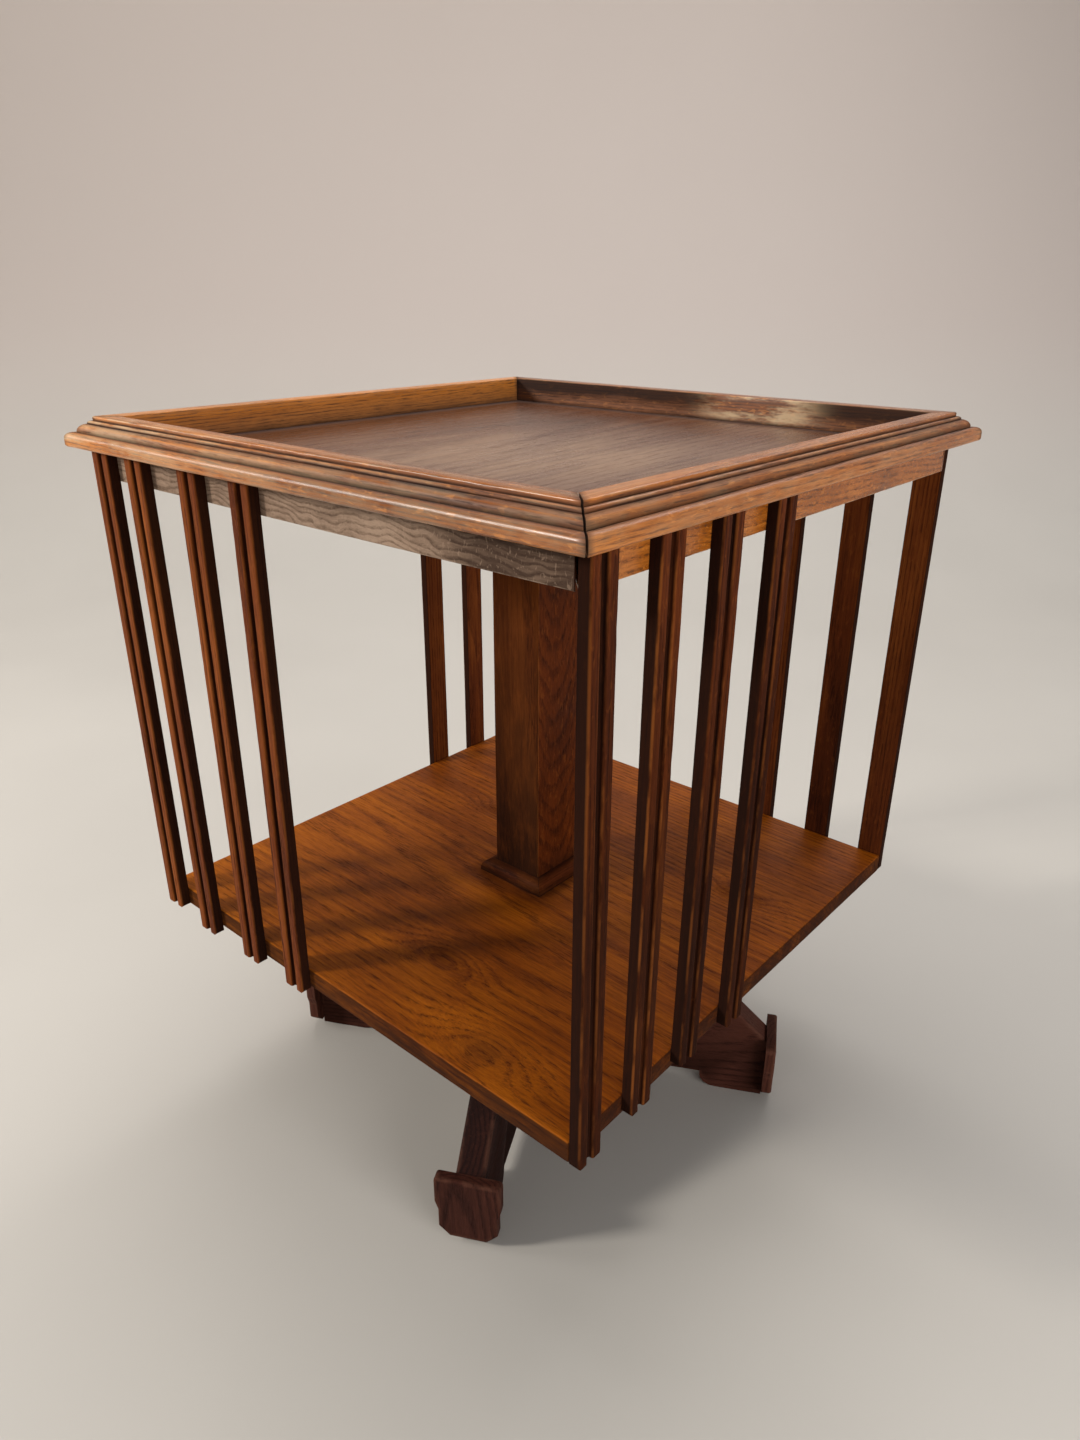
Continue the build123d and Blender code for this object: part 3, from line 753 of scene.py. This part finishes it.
class BOOKCASE_OT_slats(Operator):
    """Make the grooved slats on all sides"""

    bl_idname = "bookcase.slats"
    bl_label = "Slats"

    def execute(self, context):
        settings = context.scene.bookcase
        oak = oak_material("amber_oak", settings.amber_oak)
        for side, leans in SLAT_LEANS.items():
            for number, lean in enumerate(leans, start=1):
                self.slat(settings.slat, oak, side, number, lean * MM)
        return {"FINISHED"}

    def slat(self, shape, oak, side, number, lean):
        node, turn = f"slat_{side}_{number}", SIDES[side]
        square = Matrix.Rotation(radians(-turn), 3, "Z")
        low, high = (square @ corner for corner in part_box(node))
        half, rise = shape.width / 2, high.z - low.z
        drift = lean * rise / (APRON_HIGH.z - SHELF_LOW.z)
        top = max(low.x, high.x) - half if lean > 0 else min(low.x, high.x) + half
        middle = top - drift
        inner, outer = sorted((-low.y, -high.y))
        left, lip = middle - half, middle - shape.groove_width / 2
        floor, side_middle = outer - shape.groove_depth, inner + 0.4 * (outer - inner)
        # The outer edges and the groove's lips are brightened: worn wood together with painted highlights.
        rub = MORE_WEAR_AND_HIGHLIGHT.get(node, SLAT_WEAR_AND_HIGHLIGHT)
        # The sides are darkened near black: a dark stain together with painted shade.
        hem, side_stain_and_shade = 0.5 * MM, 1.3
        outline = Outline().to((left + hem, inner), 0.0, 0.3)
        outline.to((left, inner), 0.0, side_stain_and_shade).to((left, side_middle), 0.0, side_stain_and_shade)
        corner = (left, inner), (left, outer), (middle, outer)
        outline.rounded(*corner, shape.edge_round, rub, (side_stain_and_shade, 0.1), 5)
        outline.rounded((left, outer), (lip, outer), (lip, floor), shape.groove_ease, rub, (0.0, 0.9))
        outline.rounded((lip, outer), (lip, floor), (middle, floor), shape.groove_round, 0.0, (0.9, 1.0))
        outline.mirror(middle)
        bm = column(outline, low.z, Vector((drift, 0, rise)), SLAT_ROUGH.cuts)
        for vert in bm.verts:
            over = abs(vert.co.x - middle) - (half - shape.end_clip)
            if vert.co.z < low.z + TINY and over > 0:
                vert.co.z += over

        # Painted shade: each slat darkens towards its lower end, more on some sides.
        def darkening(spot, old):
            above = (spot.z - low.z) / rise
            return max(old, FOOT_SHADE[side] * min(1.0, FOOT_SHADE_GAIN * (1.0 - above)))

        paint(bm, "grime", darkening)
        seed = SLAT_ROUGH.seed + number + 7.0 * (turn / 90)
        batter(bm, SLAT_ROUGH, seed)
        flat_cut = number % 2 == 0
        pith = (9.0 * sin(seed), 34.0 + 3.0 * sin(2.3 * seed)) if flat_cut else (46.0, 6.0 * sin(seed))
        slope = (0.006 * sin(1.7 * seed), 0.022 * sin(0.9 * seed))
        lay_grain(bm, Z, X, pith, slope, seed, SLAT_TONES[side][number - 1])
        make_piece(bm, node, "case", oak, turn)


class BOOKCASE_OT_tray_mouldings(Operator):
    """Make the reeded, mitred mouldings round the tray"""

    bl_idname = "bookcase.tray_mouldings"
    bl_label = "Tray mouldings"

    def execute(self, context):
        settings = context.scene.bookcase
        oak = oak_material("golden_oak", settings.golden_oak)
        for side, turn in SIDES.items():
            self.moulding(settings.moulding, oak, side, turn)
        return {"FINISHED"}

    def moulding(self, shape, oak, side, turn):
        inset = SHELF_HALF + MOULD_HIGH.y
        top = MOULD_HIGH.z - MOULD_LOW.z
        reach = -MOULD_LOW.y - SHELF_HALF
        lip, reed, torus, quirk = shape.lip_reach, shape.reed_reach, shape.torus_reach, shape.quirk_depth
        reed_top, reed_low, torus_low = shape.reed_top, shape.reed_bottom, shape.torus_bottom
        # On the back moulding the inner face is darkened and dulled all over, as painted shade.
        dull = 1.2 if side == "back" else 0.0
        outline = Outline().to((reach - shape.nosing_round, 0.0), 0.2, 0.5).to((-inset, 0.0), 0.0, 0.9)
        outline.to((-inset, 0.18 * top), 0.0, 0.5).to((-inset, 0.75 * top), 0.0, dull)
        outline.rounded((-inset, 0.0), (-inset, top), (lip, top), shape.lip_round, 0.5, (dull, 0.0))
        outline.to(((lip - inset) / 2, top), 0.5)
        outline.rounded((-inset, top), (lip, top), (lip, reed_top), shape.lip_round, 0.8)
        outline.to((lip, reed_top + 0.6 * quirk), 0.0, 0.9)
        outline.to((lip - 0.7 * quirk, reed_top - quirk), 0.0, 1.0)
        outline.to((lip + 0.5 * quirk, reed_top + 0.1 * quirk), 0.0, 0.9)
        bulge = 0.85 * shape.reed_bulge
        outline.to((reed - 0.1 * quirk, reed_low + 0.5 * quirk), 0.0, 0.9, bulge, 0.7, 8)
        outline.to((reed - 0.8 * quirk, reed_low - 0.8 * quirk), 0.0, 1.0)
        outline.to((reed + 0.5 * quirk, reed_low - 0.05 * quirk), 0.0, 0.9)
        bulge = 0.95 * shape.torus_bulge
        outline.to((torus - 0.05 * quirk, torus_low + 0.5 * quirk), 0.4, 0.9, bulge, 0.45, 10)
        outline.to((torus - 0.7 * quirk, torus_low - 0.9 * quirk), 0.0, 1.0)
        outline.to((torus + 0.7 * quirk, torus_low - 0.03 * quirk), 0.0, 0.9)
        outline.to((shape.quirk_reach, torus_low), 0.0, 0.45)
        outline.to((reach, shape.nosing_shoulder), 0.6, 0.0, shape.nosing_bulge, 0.45, 8)
        outline.to((reach, shape.nosing_round), 0.35, 0.0)
        bulge = 0.29 * shape.nosing_round
        outline.to((reach - shape.nosing_round * 0.99, 0.001 * MM), 0.3, 0.3, bulge, 0.6, 5)
        gaps = (shape.open_mitre if side == near else shape.mitre_gap for near in ("right", "front"))
        bm = rail(outline, SHELF_HALF + reach, MOULD_LOW.z, gaps, MOULDING_ROUGH.cuts, SHELF_HALF)
        front = side == "front"
        # On the front the rubbing grows towards the left end with the painted light there; on other sides
        # it is cut down.
        paint(bm, "wear", lambda spot, old: old * (0.4 + self.fade(spot) if front else 0.35))
        paint(bm, "grime", lambda spot, old: max(old, 0.8) if abs(spot.x) > -spot.y - MM else old)
        if side == "back":
            self.pale_inner_patch(bm)
        seed = MOULDING_ROUGH.seed + turn / 90
        batter(bm, MOULDING_ROUGH, seed)
        pith, slope = (58.0, 14.0 * sin(seed)), (0.010, 0.012 * sin(seed))
        lay_grain(bm, X, Z, pith, slope, seed, MOULDING_TONES[side])
        # Painted light: the front moulding is lighter at its left end and falls off to the right.
        if front:
            paint(bm, "tone", lambda spot, old: old + 0.70 * self.fade(spot))
        make_piece(bm, f"tray_moulding_{side}", "case", oak, turn)

    def fade(self, spot):
        """One at the left end of a rail, falling off to its right."""
        return exp(-(spot.x + SHELF_HALF) / (MOULDING_LIGHT_FALLOFF * MM))

    def pale_inner_patch(self, bm):
        """A long pale patch, rubbed down to bare wood, on the inside of the rail at the back."""

        def pale_patch(spot):
            inside = spot.y > MOULD_HIGH.y - 0.5 * MM and spot.z > MOULD_LOW.z + 2.0 * MM
            return exp(-(((spot.x - RAIL_PATCH_MIDDLE * MM) / (RAIL_PATCH_REACH * MM)) ** 4)) if inside else 0.0

        paint(bm, "wear", lambda spot, old: max(old, 1.2 * pale_patch(spot)))
        paint(bm, "grime", lambda spot, old: old * (1.0 - 0.8 * pale_patch(spot)))


class BOOKCASE_OT_aprons(Operator):
    """Make the mitred aprons under the tray"""

    bl_idname = "bookcase.aprons"
    bl_label = "Aprons"

    def execute(self, context):
        settings = context.scene.bookcase
        grey = oak_material("grey_oak", settings.grey_oak)
        golden = oak_material("golden_oak", settings.golden_oak)
        for side, turn in SIDES.items():
            self.apron(settings, grey if side == "front" else golden, side, turn)
        return {"FINISHED"}

    def apron(self, settings, oak, side, turn):
        shape = settings.case
        inner, outer = SHELF_HALF - APRON_THICKNESS, SHELF_HALF
        step = inner + shape.apron_rebate
        top = APRON_HIGH.z - APRON_LOW.z
        ledge = top - (PANEL_HIGH.z - PANEL_LOW.z)
        outline = Outline().rounded((inner, ledge), (inner, 0.0), (outer, 0.0), shape.apron_round, 0.6)
        outline.rounded((inner, 0.0), (outer, 0.0), (outer, top), shape.apron_round, 0.8)
        outline.to((outer, 0.75 * top)).to((outer, top), 0.0, 0.9)
        outline.to((step, top), 0.0, 0.9).to((step, ledge), 0.0, 0.9).to((inner, ledge), 0.0, 0.6)
        gap = settings.moulding.mitre_gap
        stop = outer - shape.apron_tip_gap
        bm = rail(outline, outer, APRON_LOW.z, (gap, gap), APRON_ROUGH.cuts, stop=stop)
        seed = APRON_ROUGH.seed + turn / 90
        batter(bm, APRON_ROUGH, seed)
        swirl = 6.0 if side == "front" else 3.0
        lay_grain(bm, X, Z, (14.0, 10.0), (0.03, 0.02), seed, APRON_TONES[side], swirl)
        # Painted shade: the front apron darkens towards its right end.
        if side == "front":
            start, run = APRON_DARK_START * MM, APRON_DARK_RUN * MM
            paint(bm, "tone", lambda spot, old: old - 1.10 * min(1.0, max(0.0, (spot.x - start) / run)))
        make_piece(bm, f"apron_{side}", "case", oak, turn)


class BOOKCASE_OT_bottom_shelf(Operator):
    """Make the bottom shelf"""

    bl_idname = "bookcase.bottom_shelf"
    bl_label = "Bottom shelf"

    def execute(self, context):
        settings = context.scene.bookcase
        oak = oak_material("shelf_oak", settings.shelf_oak)
        bm = board(SHELF_LOW, SHELF_HIGH, settings.case.shelf_round, SHELF_ROUGH.cuts, 0.05)
        under = SHELF_HIGH.z - 0.25 * settings.case.shelf_round

        # Darker on the edges and underside; the ring round the post's foot is painted shade.
        def darkening(spot, old):
            off_post = max(abs(spot.x), abs(spot.y)) - BEAD_HIGH.x
            ring = SHELF_RING_SHADE - abs(off_post) / SHELF_RING_REACH
            return SHELF_UNDER_DARK if spot.z < under else max(0.0, ring)

        def painted_light_patch(spot, old):
            """Paler towards the left of the front."""
            leftward, forward = -spot.x / SHELF_HALF, 0.5 - spot.y / SHELF_HALF
            return old + 0.45 * max(0.0, leftward) * max(0.0, forward)

        paint(bm, "grime", darkening)
        batter(bm, SHELF_ROUGH, SHELF_ROUGH.seed)
        lay_grain(bm, X, Y, (60.0, 120.0), (0.02, 0.03), SHELF_ROUGH.seed, SHELF_TONE)
        paint(bm, "tone", painted_light_patch)
        for place, reach in SHELF_KNOTS:
            self.knot(bm, Vector(place) * MM, reach * MM)
        make_piece(bm, "bottom_shelf", "case", oak)
        return {"FINISHED"}

    def knot(self, bm, place, reach):
        """Bends the grain round a small knot and darkens its heart."""
        grain = bm.verts.layers.float_vector.get("grain")
        grime = bm.verts.layers.float.get("grime")
        for vert in bm.verts:
            off = Vector((0.5 * (vert.co.x - place.x), vert.co.y - place.y)).length / reach
            vert[grain] += Vector((0, 0, 0.9 * reach * exp(-off * off)))
            vert[grime] = max(vert[grime], 0.5 * exp(-4.0 * off * off))


class BOOKCASE_OT_tray_panel(Operator):
    """Make the tray's floor"""

    bl_idname = "bookcase.tray_panel"
    bl_label = "Tray panel"

    def execute(self, context):
        oak = oak_material("tray_oak", context.scene.bookcase.tray_oak)
        bm = board(PANEL_LOW, PANEL_HIGH, 0.3 * MM, TRAY_ROUGH.cuts, 0.0)
        lip, under = -MOULD_HIGH.y, PANEL_LOW.lerp(PANEL_HIGH, 0.5).z

        def darkening(spot, old):
            inside = lip - max(abs(spot.x), abs(spot.y))
            edge = TRAY_EDGE_GRIME - max(0.0, inside) / TRAY_EDGE_REACH
            return TRAY_UNDER_GRIME if spot.z < under else max(0.0, edge)

        # Painted reflection: a pale patch where glare lies in the tray's middle.
        def painted_light_patch(spot, old):
            aside, back = spot.x - TRAY_GLARE[0] * MM, spot.y - TRAY_GLARE[1] * MM
            off = hypot(aside, back) / (TRAY_GLARE_REACH * MM)
            return old + 0.75 * exp(-off * off)

        paint(bm, "grime", darkening)
        batter(bm, TRAY_ROUGH, TRAY_ROUGH.seed)
        lay_grain(bm, Y, X, (40.0, 110.0), (0.02, 0.03), TRAY_ROUGH.seed, TRAY_TONE)
        paint(bm, "tone", painted_light_patch)
        make_piece(bm, "tray_panel", "case", oak)
        return {"FINISHED"}


class BOOKCASE_OT_post(Operator):
    """Make the four boards of the post and the bead round its foot"""

    bl_idname = "bookcase.post"
    bl_label = "Post"

    def execute(self, context):
        settings = context.scene.bookcase
        oak = oak_material("amber_oak", settings.amber_oak)
        for side, turn in SIDES.items():
            self.post_board(settings.case, oak, side, turn)
            self.bead(settings, oak, side, turn)
        return {"FINISHED"}

    def post_board(self, shape, oak, side, turn):
        half, inner, cut = POST_HALF, POST_HALF - shape.post_board, shape.post_ease
        outline = Outline().to((half - 1.6 * cut, half)).to((half - cut, half), 0.6)
        outline.to((half - cut / 2, half - cut / 2), 0.9, 0.2).to((inner, inner)).mirror()
        rise = Vector((0, 0, POST_HIGH.z - POST_LOW.z))
        bm = column(outline, POST_LOW.z, rise, POST_ROUGH.cuts)

        # Soiling at the joint over the bead, and a painted shade that deepens down the board, mostly on the
        # front one.
        def darkening(spot, old):
            foot = spot.z - BEAD_HIGH.z
            dusk = POST_DUSK[side] - foot / POST_DUSK_REACH
            return max(old, POST_FOOT_GRIME - foot / POST_FOOT_REACH, dusk)

        paint(bm, "grime", darkening)
        seed = POST_ROUGH.seed + turn / 90
        batter(bm, POST_ROUGH, seed)
        if side in ("right", "left"):
            lay_grain(bm, Z, X, (3.0, 36.0), (0.01, -0.17), seed, FLAT_CUT_POST_TONE)
        else:
            lay_grain(bm, Z, X, (4.0, 160.0), (0.01, 0.01), seed, QUARTERED_POST_TONE)
        make_piece(bm, f"post_board_{side}", "case", oak, turn)

    def bead(self, settings, oak, side, turn):
        shape = settings.case
        outer, top = -BEAD_LOW.y, BEAD_HIGH.z - BEAD_LOW.z
        fillet = shape.bead_fillet
        # The bead is darkened all over, as painted shade.
        outline = Outline().to((POST_HALF + fillet, top), 0.1, 0.8).to((POST_HALF, top), 0.0, 1.0)
        outline.to((POST_HALF, 0.0), 0.0, 1.0).to((outer, 0.0), 0.0, 0.9).to((outer, fillet), 0.1, 0.8)
        outline.to((POST_HALF + fillet * 1.01, top * 0.999), 0.1, 0.8, -shape.bead_bulge, 0.2, 7)
        gap = settings.moulding.mitre_gap
        bm = rail(outline, outer, BEAD_LOW.z, (gap, gap), BEAD_ROUGH.cuts)
        seed = BEAD_ROUGH.seed + turn / 90
        batter(bm, BEAD_ROUGH, seed)
        lay_grain(bm, X, Z, (30.0, 8.0), (0.01, 0.02), seed, BEAD_TONE)
        make_piece(bm, f"post_bead_{side}", "case", oak, turn)


class BOOKCASE_OT_cross(Operator):
    """Make the two halved boards of the cross"""

    bl_idname = "bookcase.cross"
    bl_label = "Cross"

    def execute(self, context):
        settings = context.scene.bookcase
        oak = oak_material("cross_oak", settings.dark_oak)
        self.beam(settings.base, oak, "lower", 0.0)
        self.beam(settings.base, oak, "upper", 90.0)
        return {"FINISHED"}

    def beam(self, shape, oak, place, quarter):
        node = f"cross_beam_{place}"
        hub_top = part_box(node)[1].z
        hub, arch, arm = shape.hub_length / 2, shape.arch_height, shape.arm_end_height
        end = shape.foot_reach - shape.plate_thickness
        pad = end - shape.pad_length
        half = shape.beam_thickness / 2
        notch = half + shape.halving_gap
        middle = (hub_top + arch) / 2
        outline = Outline()
        if place == "lower":
            outline.to((notch, middle)).to((notch, hub_top))
        outline.to((hub, hub_top), 0.3).to((end, arm), 0.3).to((end, 0.0), 0.3, 0.6)
        outline.rounded((end, 0.0), (pad, 0.0), (pad, arch), shape.pad_round, 0.4, steps=6)
        outline.to((pad, arch), 0.0, 0.8)
        if place == "upper":
            outline.to((notch, arch)).to((notch, middle))
        outline.mirror()
        bm = prism(outline, lambda p: Vector((p.x, -half, p.y)), Vector((0, 2 * half, 0)))
        upper = [
            edge for edge in bm.edges
            if min(v.co.z for v in edge.verts) > arm - TINY
            and abs(edge.verts[0].co.y - edge.verts[1].co.y) < TINY
            and max(abs(v.co.x) for v in edge.verts) > notch + TINY
        ]
        ease(bm, upper, shape.edge_round)
        rub_rim(bm)
        lay_grain(bm, X, Z, (12.0, 40.0), (0.02, 0.10), BEAM_SEED + quarter / 90, BEAM_TONES[place])
        make_piece(bm, node, "base", oak, degrees(shape.turn) + quarter)


class BOOKCASE_OT_foot_plates(Operator):
    """Make the shaped plates on the arm ends"""

    bl_idname = "bookcase.foot_plates"
    bl_label = "Foot plates"

    def execute(self, context):
        settings = context.scene.bookcase
        oak = oak_material("cross_oak", settings.dark_oak)
        for side, turn in SIDES.items():
            self.plate(settings.base, oak, side, turn)
        return {"FINISHED"}

    def plate(self, shape, oak, side, turn):
        foot, ear = shape.plate_foot_width / 2, shape.plate_ear_width / 2
        low, high = shape.plate_bottom, shape.plate_top
        clip = shape.plate_corner_clip
        ear_low = shape.plate_ear_height - shape.plate_ear_run / 2
        ear_high = shape.plate_ear_height + shape.plate_ear_run / 2
        outline = Outline().to((foot - clip, low), 0.4).to((foot, low + clip), 0.4)
        outline.to((foot, ear_low), 0.2).to((ear, ear_high), 0.4)
        outline.rounded((ear, low), (ear, high), (0.0, high), shape.plate_top_round, 0.6).mirror()
        thick = shape.plate_thickness
        inner = shape.foot_reach - thick
        bm = prism(outline, lambda p: Vector((p.x, -inner, p.y)), Vector((0, -thick, 0)))
        rim = [edge for edge in bm.edges if all(v.co.y < -inner - thick / 2 for v in edge.verts)]
        ease(bm, rim, shape.plate_edge_round)
        rub_rim(bm)
        seed = PLATE_SEED + turn / 90
        lay_grain(bm, Z, X, (14.0 * sin(seed), 30.0), (0.03, 0.06), seed, PLATE_TONES[side])
        make_piece(bm, f"foot_plate_{side}", "base", oak, degrees(shape.turn) + turn)


class BOOKCASE_OT_pivot(Operator):
    """Finish the metal of the pivot, the brads and the block in the post"""

    bl_idname = "bookcase.pivot"
    bl_label = "Pivot"

    def execute(self, context):
        steel = metal_material("oiled_steel", (0.42, 0.41, 0.40), (0.16, 0.13, 0.11), 0.32, False)
        brass = metal_material("turned_brass", (0.72, 0.50, 0.20), (0.30, 0.19, 0.08), 0.26, True)
        iron = metal_material("black_iron", (0.10, 0.095, 0.09), (0.05, 0.035, 0.03), 0.5, False)
        block = block_material("raw_hardwood")
        finishes = {
            "spindle": steel, "spindle_screws": steel, "slat_brads": iron, "thrust_washer": brass,
            "shelf_bush": brass, "pivot_bush": brass, "pivot_block": block,
        }
        for node, finish in finishes.items():
            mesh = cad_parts[node].data
            mesh.materials.clear()
            mesh.materials.append(finish)
        return {"FINISHED"}


class BOOKCASE_OT_stage(Operator):
    """Make the floor and backdrop, the lamps and the camera"""

    bl_idname = "bookcase.stage"
    bl_label = "Stage"

    def execute(self, context):
        look = context.scene.bookcase.stage
        turn = Matrix.Rotation(look.yaw, 3, "Z")
        self.floor(look, turn)
        context.scene.world = self.world(look)
        for lamp in LAMPS:
            self.lamp(lamp, turn @ Vector(lamp.place), getattr(look, f"{lamp.name}_power"))
        context.scene.camera = self.camera(look)
        context.scene.view_settings.view_transform = "Standard"
        return {"FINISHED"}

    def floor(self, look, turn):
        bm = bmesh.new()
        bends = ((FLOOR_NEAR, 0.0), (FLOOR_FAR, 0.0), (FLOOR_FAR, WALL_HIGH))
        verts = [bm.verts.new((-FLOOR_HALF, y, z)) for y, z in bends]
        edges = [bm.edges.new(pair) for pair in zip(verts, verts[1:])]
        drawn = bmesh.ops.extrude_edge_only(bm, edges=edges)["geom"]
        moved = [item for item in drawn if isinstance(item, bmesh.types.BMVert)]
        bmesh.ops.translate(bm, verts=moved, vec=(2 * FLOOR_HALF, 0, 0))
        fold = [
            edge for edge in bm.edges
            if all(abs(v.co.z) < TINY and abs(v.co.y - FLOOR_FAR) < TINY for v in edge.verts)
        ]
        ease(bm, fold, FLOOR_FOLD, 16)
        bmesh.ops.recalc_face_normals(bm, faces=bm.faces)
        bmesh.ops.rotate(bm, verts=bm.verts, cent=(0, 0, 0), matrix=turn)
        mesh = smooth_mesh(bm, "pale_floor", self.floor_material(look, turn))
        floor = place_object("pale_floor", mesh)

    def floor_material(self, look, turn):
        """Pale and faintly mottled; what lies far beside or before the camera is seen as haze."""
        bench = new_material("pale_floor")
        place = bench.add("TexCoord").outputs["Object"]
        mottle = bench.noise(place, (3.0, 3.0, 3.0), detail=3.0)
        grey = tuple(0.95 * c for c in look.floor)
        height = bench.vector("DOT_PRODUCT", place, tuple(Z))
        colour = bench.ramp(mottle, (0.3, grey), (0.7, look.floor))
        colour = bench.mix(bench.step(height, 0.0, 0.5), colour, look.wall)
        pale = bench.shader(colour, bench.step(mottle, 0.2, 0.8, 0.6, 0.7), mottle, 0.05, MM)
        beside = bench.math("ABSOLUTE", bench.vector("DOT_PRODUCT", place, tuple(turn.col[0])))
        before = bench.vector("DOT_PRODUCT", place, tuple(-turn.col[1]))
        away = bench.math("MAXIMUM", bench.step(beside, *FADE_BESIDE), bench.step(before, *FADE_BEFORE))
        hidden = bench.math("MULTIPLY", bench.seen(), away)
        return bench.material(bench.blend(hidden, pale, bench.add("BsdfTransparent").outputs["BSDF"]))

    def world(self, look):
        """Even light from all round, which is seen as a pale haze."""
        bench = Bench(bpy.data.worlds.new("even_light"))
        light, haze = (bench.add("Background") for _ in range(2))
        bench.feed(light.inputs, EVEN_TINT, look.world)
        bench.feed(haze.inputs, (*look.haze, 1.0))
        mixed = bench.blend(bench.seen(), light.outputs["Background"], haze.outputs["Background"])
        bench.feed(bench.add("OutputWorld").inputs, mixed)
        return bench.owner

    def lamp(self, lamp, place, watts):
        light = bpy.data.lights.new(f"{lamp.name}_lamp", "AREA")
        light.energy = watts
        light.size = lamp.size
        light.color = lamp.tint
        made = place_object(light.name, light)
        made.location = place
        made.rotation_euler = (LAMP_AIM - place).to_track_quat("-Z", "Y").to_euler()

    def camera(self, look):
        lens = bpy.data.cameras.new("eye")
        lens.sensor_width = 36.0
        lens.lens = look.lens
        eye = place_object("eye", lens)
        aim = (
            Matrix.Rotation(look.yaw, 4, "Z")
            @ Matrix.Rotation(pi / 2 - look.pitch, 4, "X")
            @ Matrix.Rotation(look.roll, 4, "Z")
        )
        eye.matrix_world = Matrix.Translation(look.eye) @ aim
        return eye


PIECES = (
    BOOKCASE_OT_cross,
    BOOKCASE_OT_foot_plates,
    BOOKCASE_OT_bottom_shelf,
    BOOKCASE_OT_post,
    BOOKCASE_OT_aprons,
    BOOKCASE_OT_tray_panel,
    BOOKCASE_OT_tray_mouldings,
    BOOKCASE_OT_slats,
    BOOKCASE_OT_pivot,
    BOOKCASE_OT_stage,
)


class BOOKCASE_PT_pieces(Panel):
    """Lists the pieces of the bookcase"""

    bl_idname = "BOOKCASE_PT_pieces"
    bl_label = "Bookcase"
    bl_space_type = "VIEW_3D"
    bl_region_type = "UI"
    bl_category = "Bookcase"

    def draw(self, context):
        for piece in PIECES:
            self.layout.operator(piece.bl_idname)


CLASSES = (*GROUPS.values(), BookcaseSettings, *PIECES, BOOKCASE_PT_pieces)


def register():
    for item in CLASSES:
        bpy.utils.register_class(item)
    bpy.types.Scene.bookcase = PointerProperty(type=BookcaseSettings)


def unregister():
    del bpy.types.Scene.bookcase
    for item in reversed(CLASSES):
        bpy.utils.unregister_class(item)


def main():
    """Makes every piece in order and writes the CAD box and the visual model's box."""
    register()
    for piece in PIECES:
        group, name = piece.bl_idname.split(".")
        getattr(getattr(bpy.ops, group), name)()


if __name__ == "__main__":
    main()
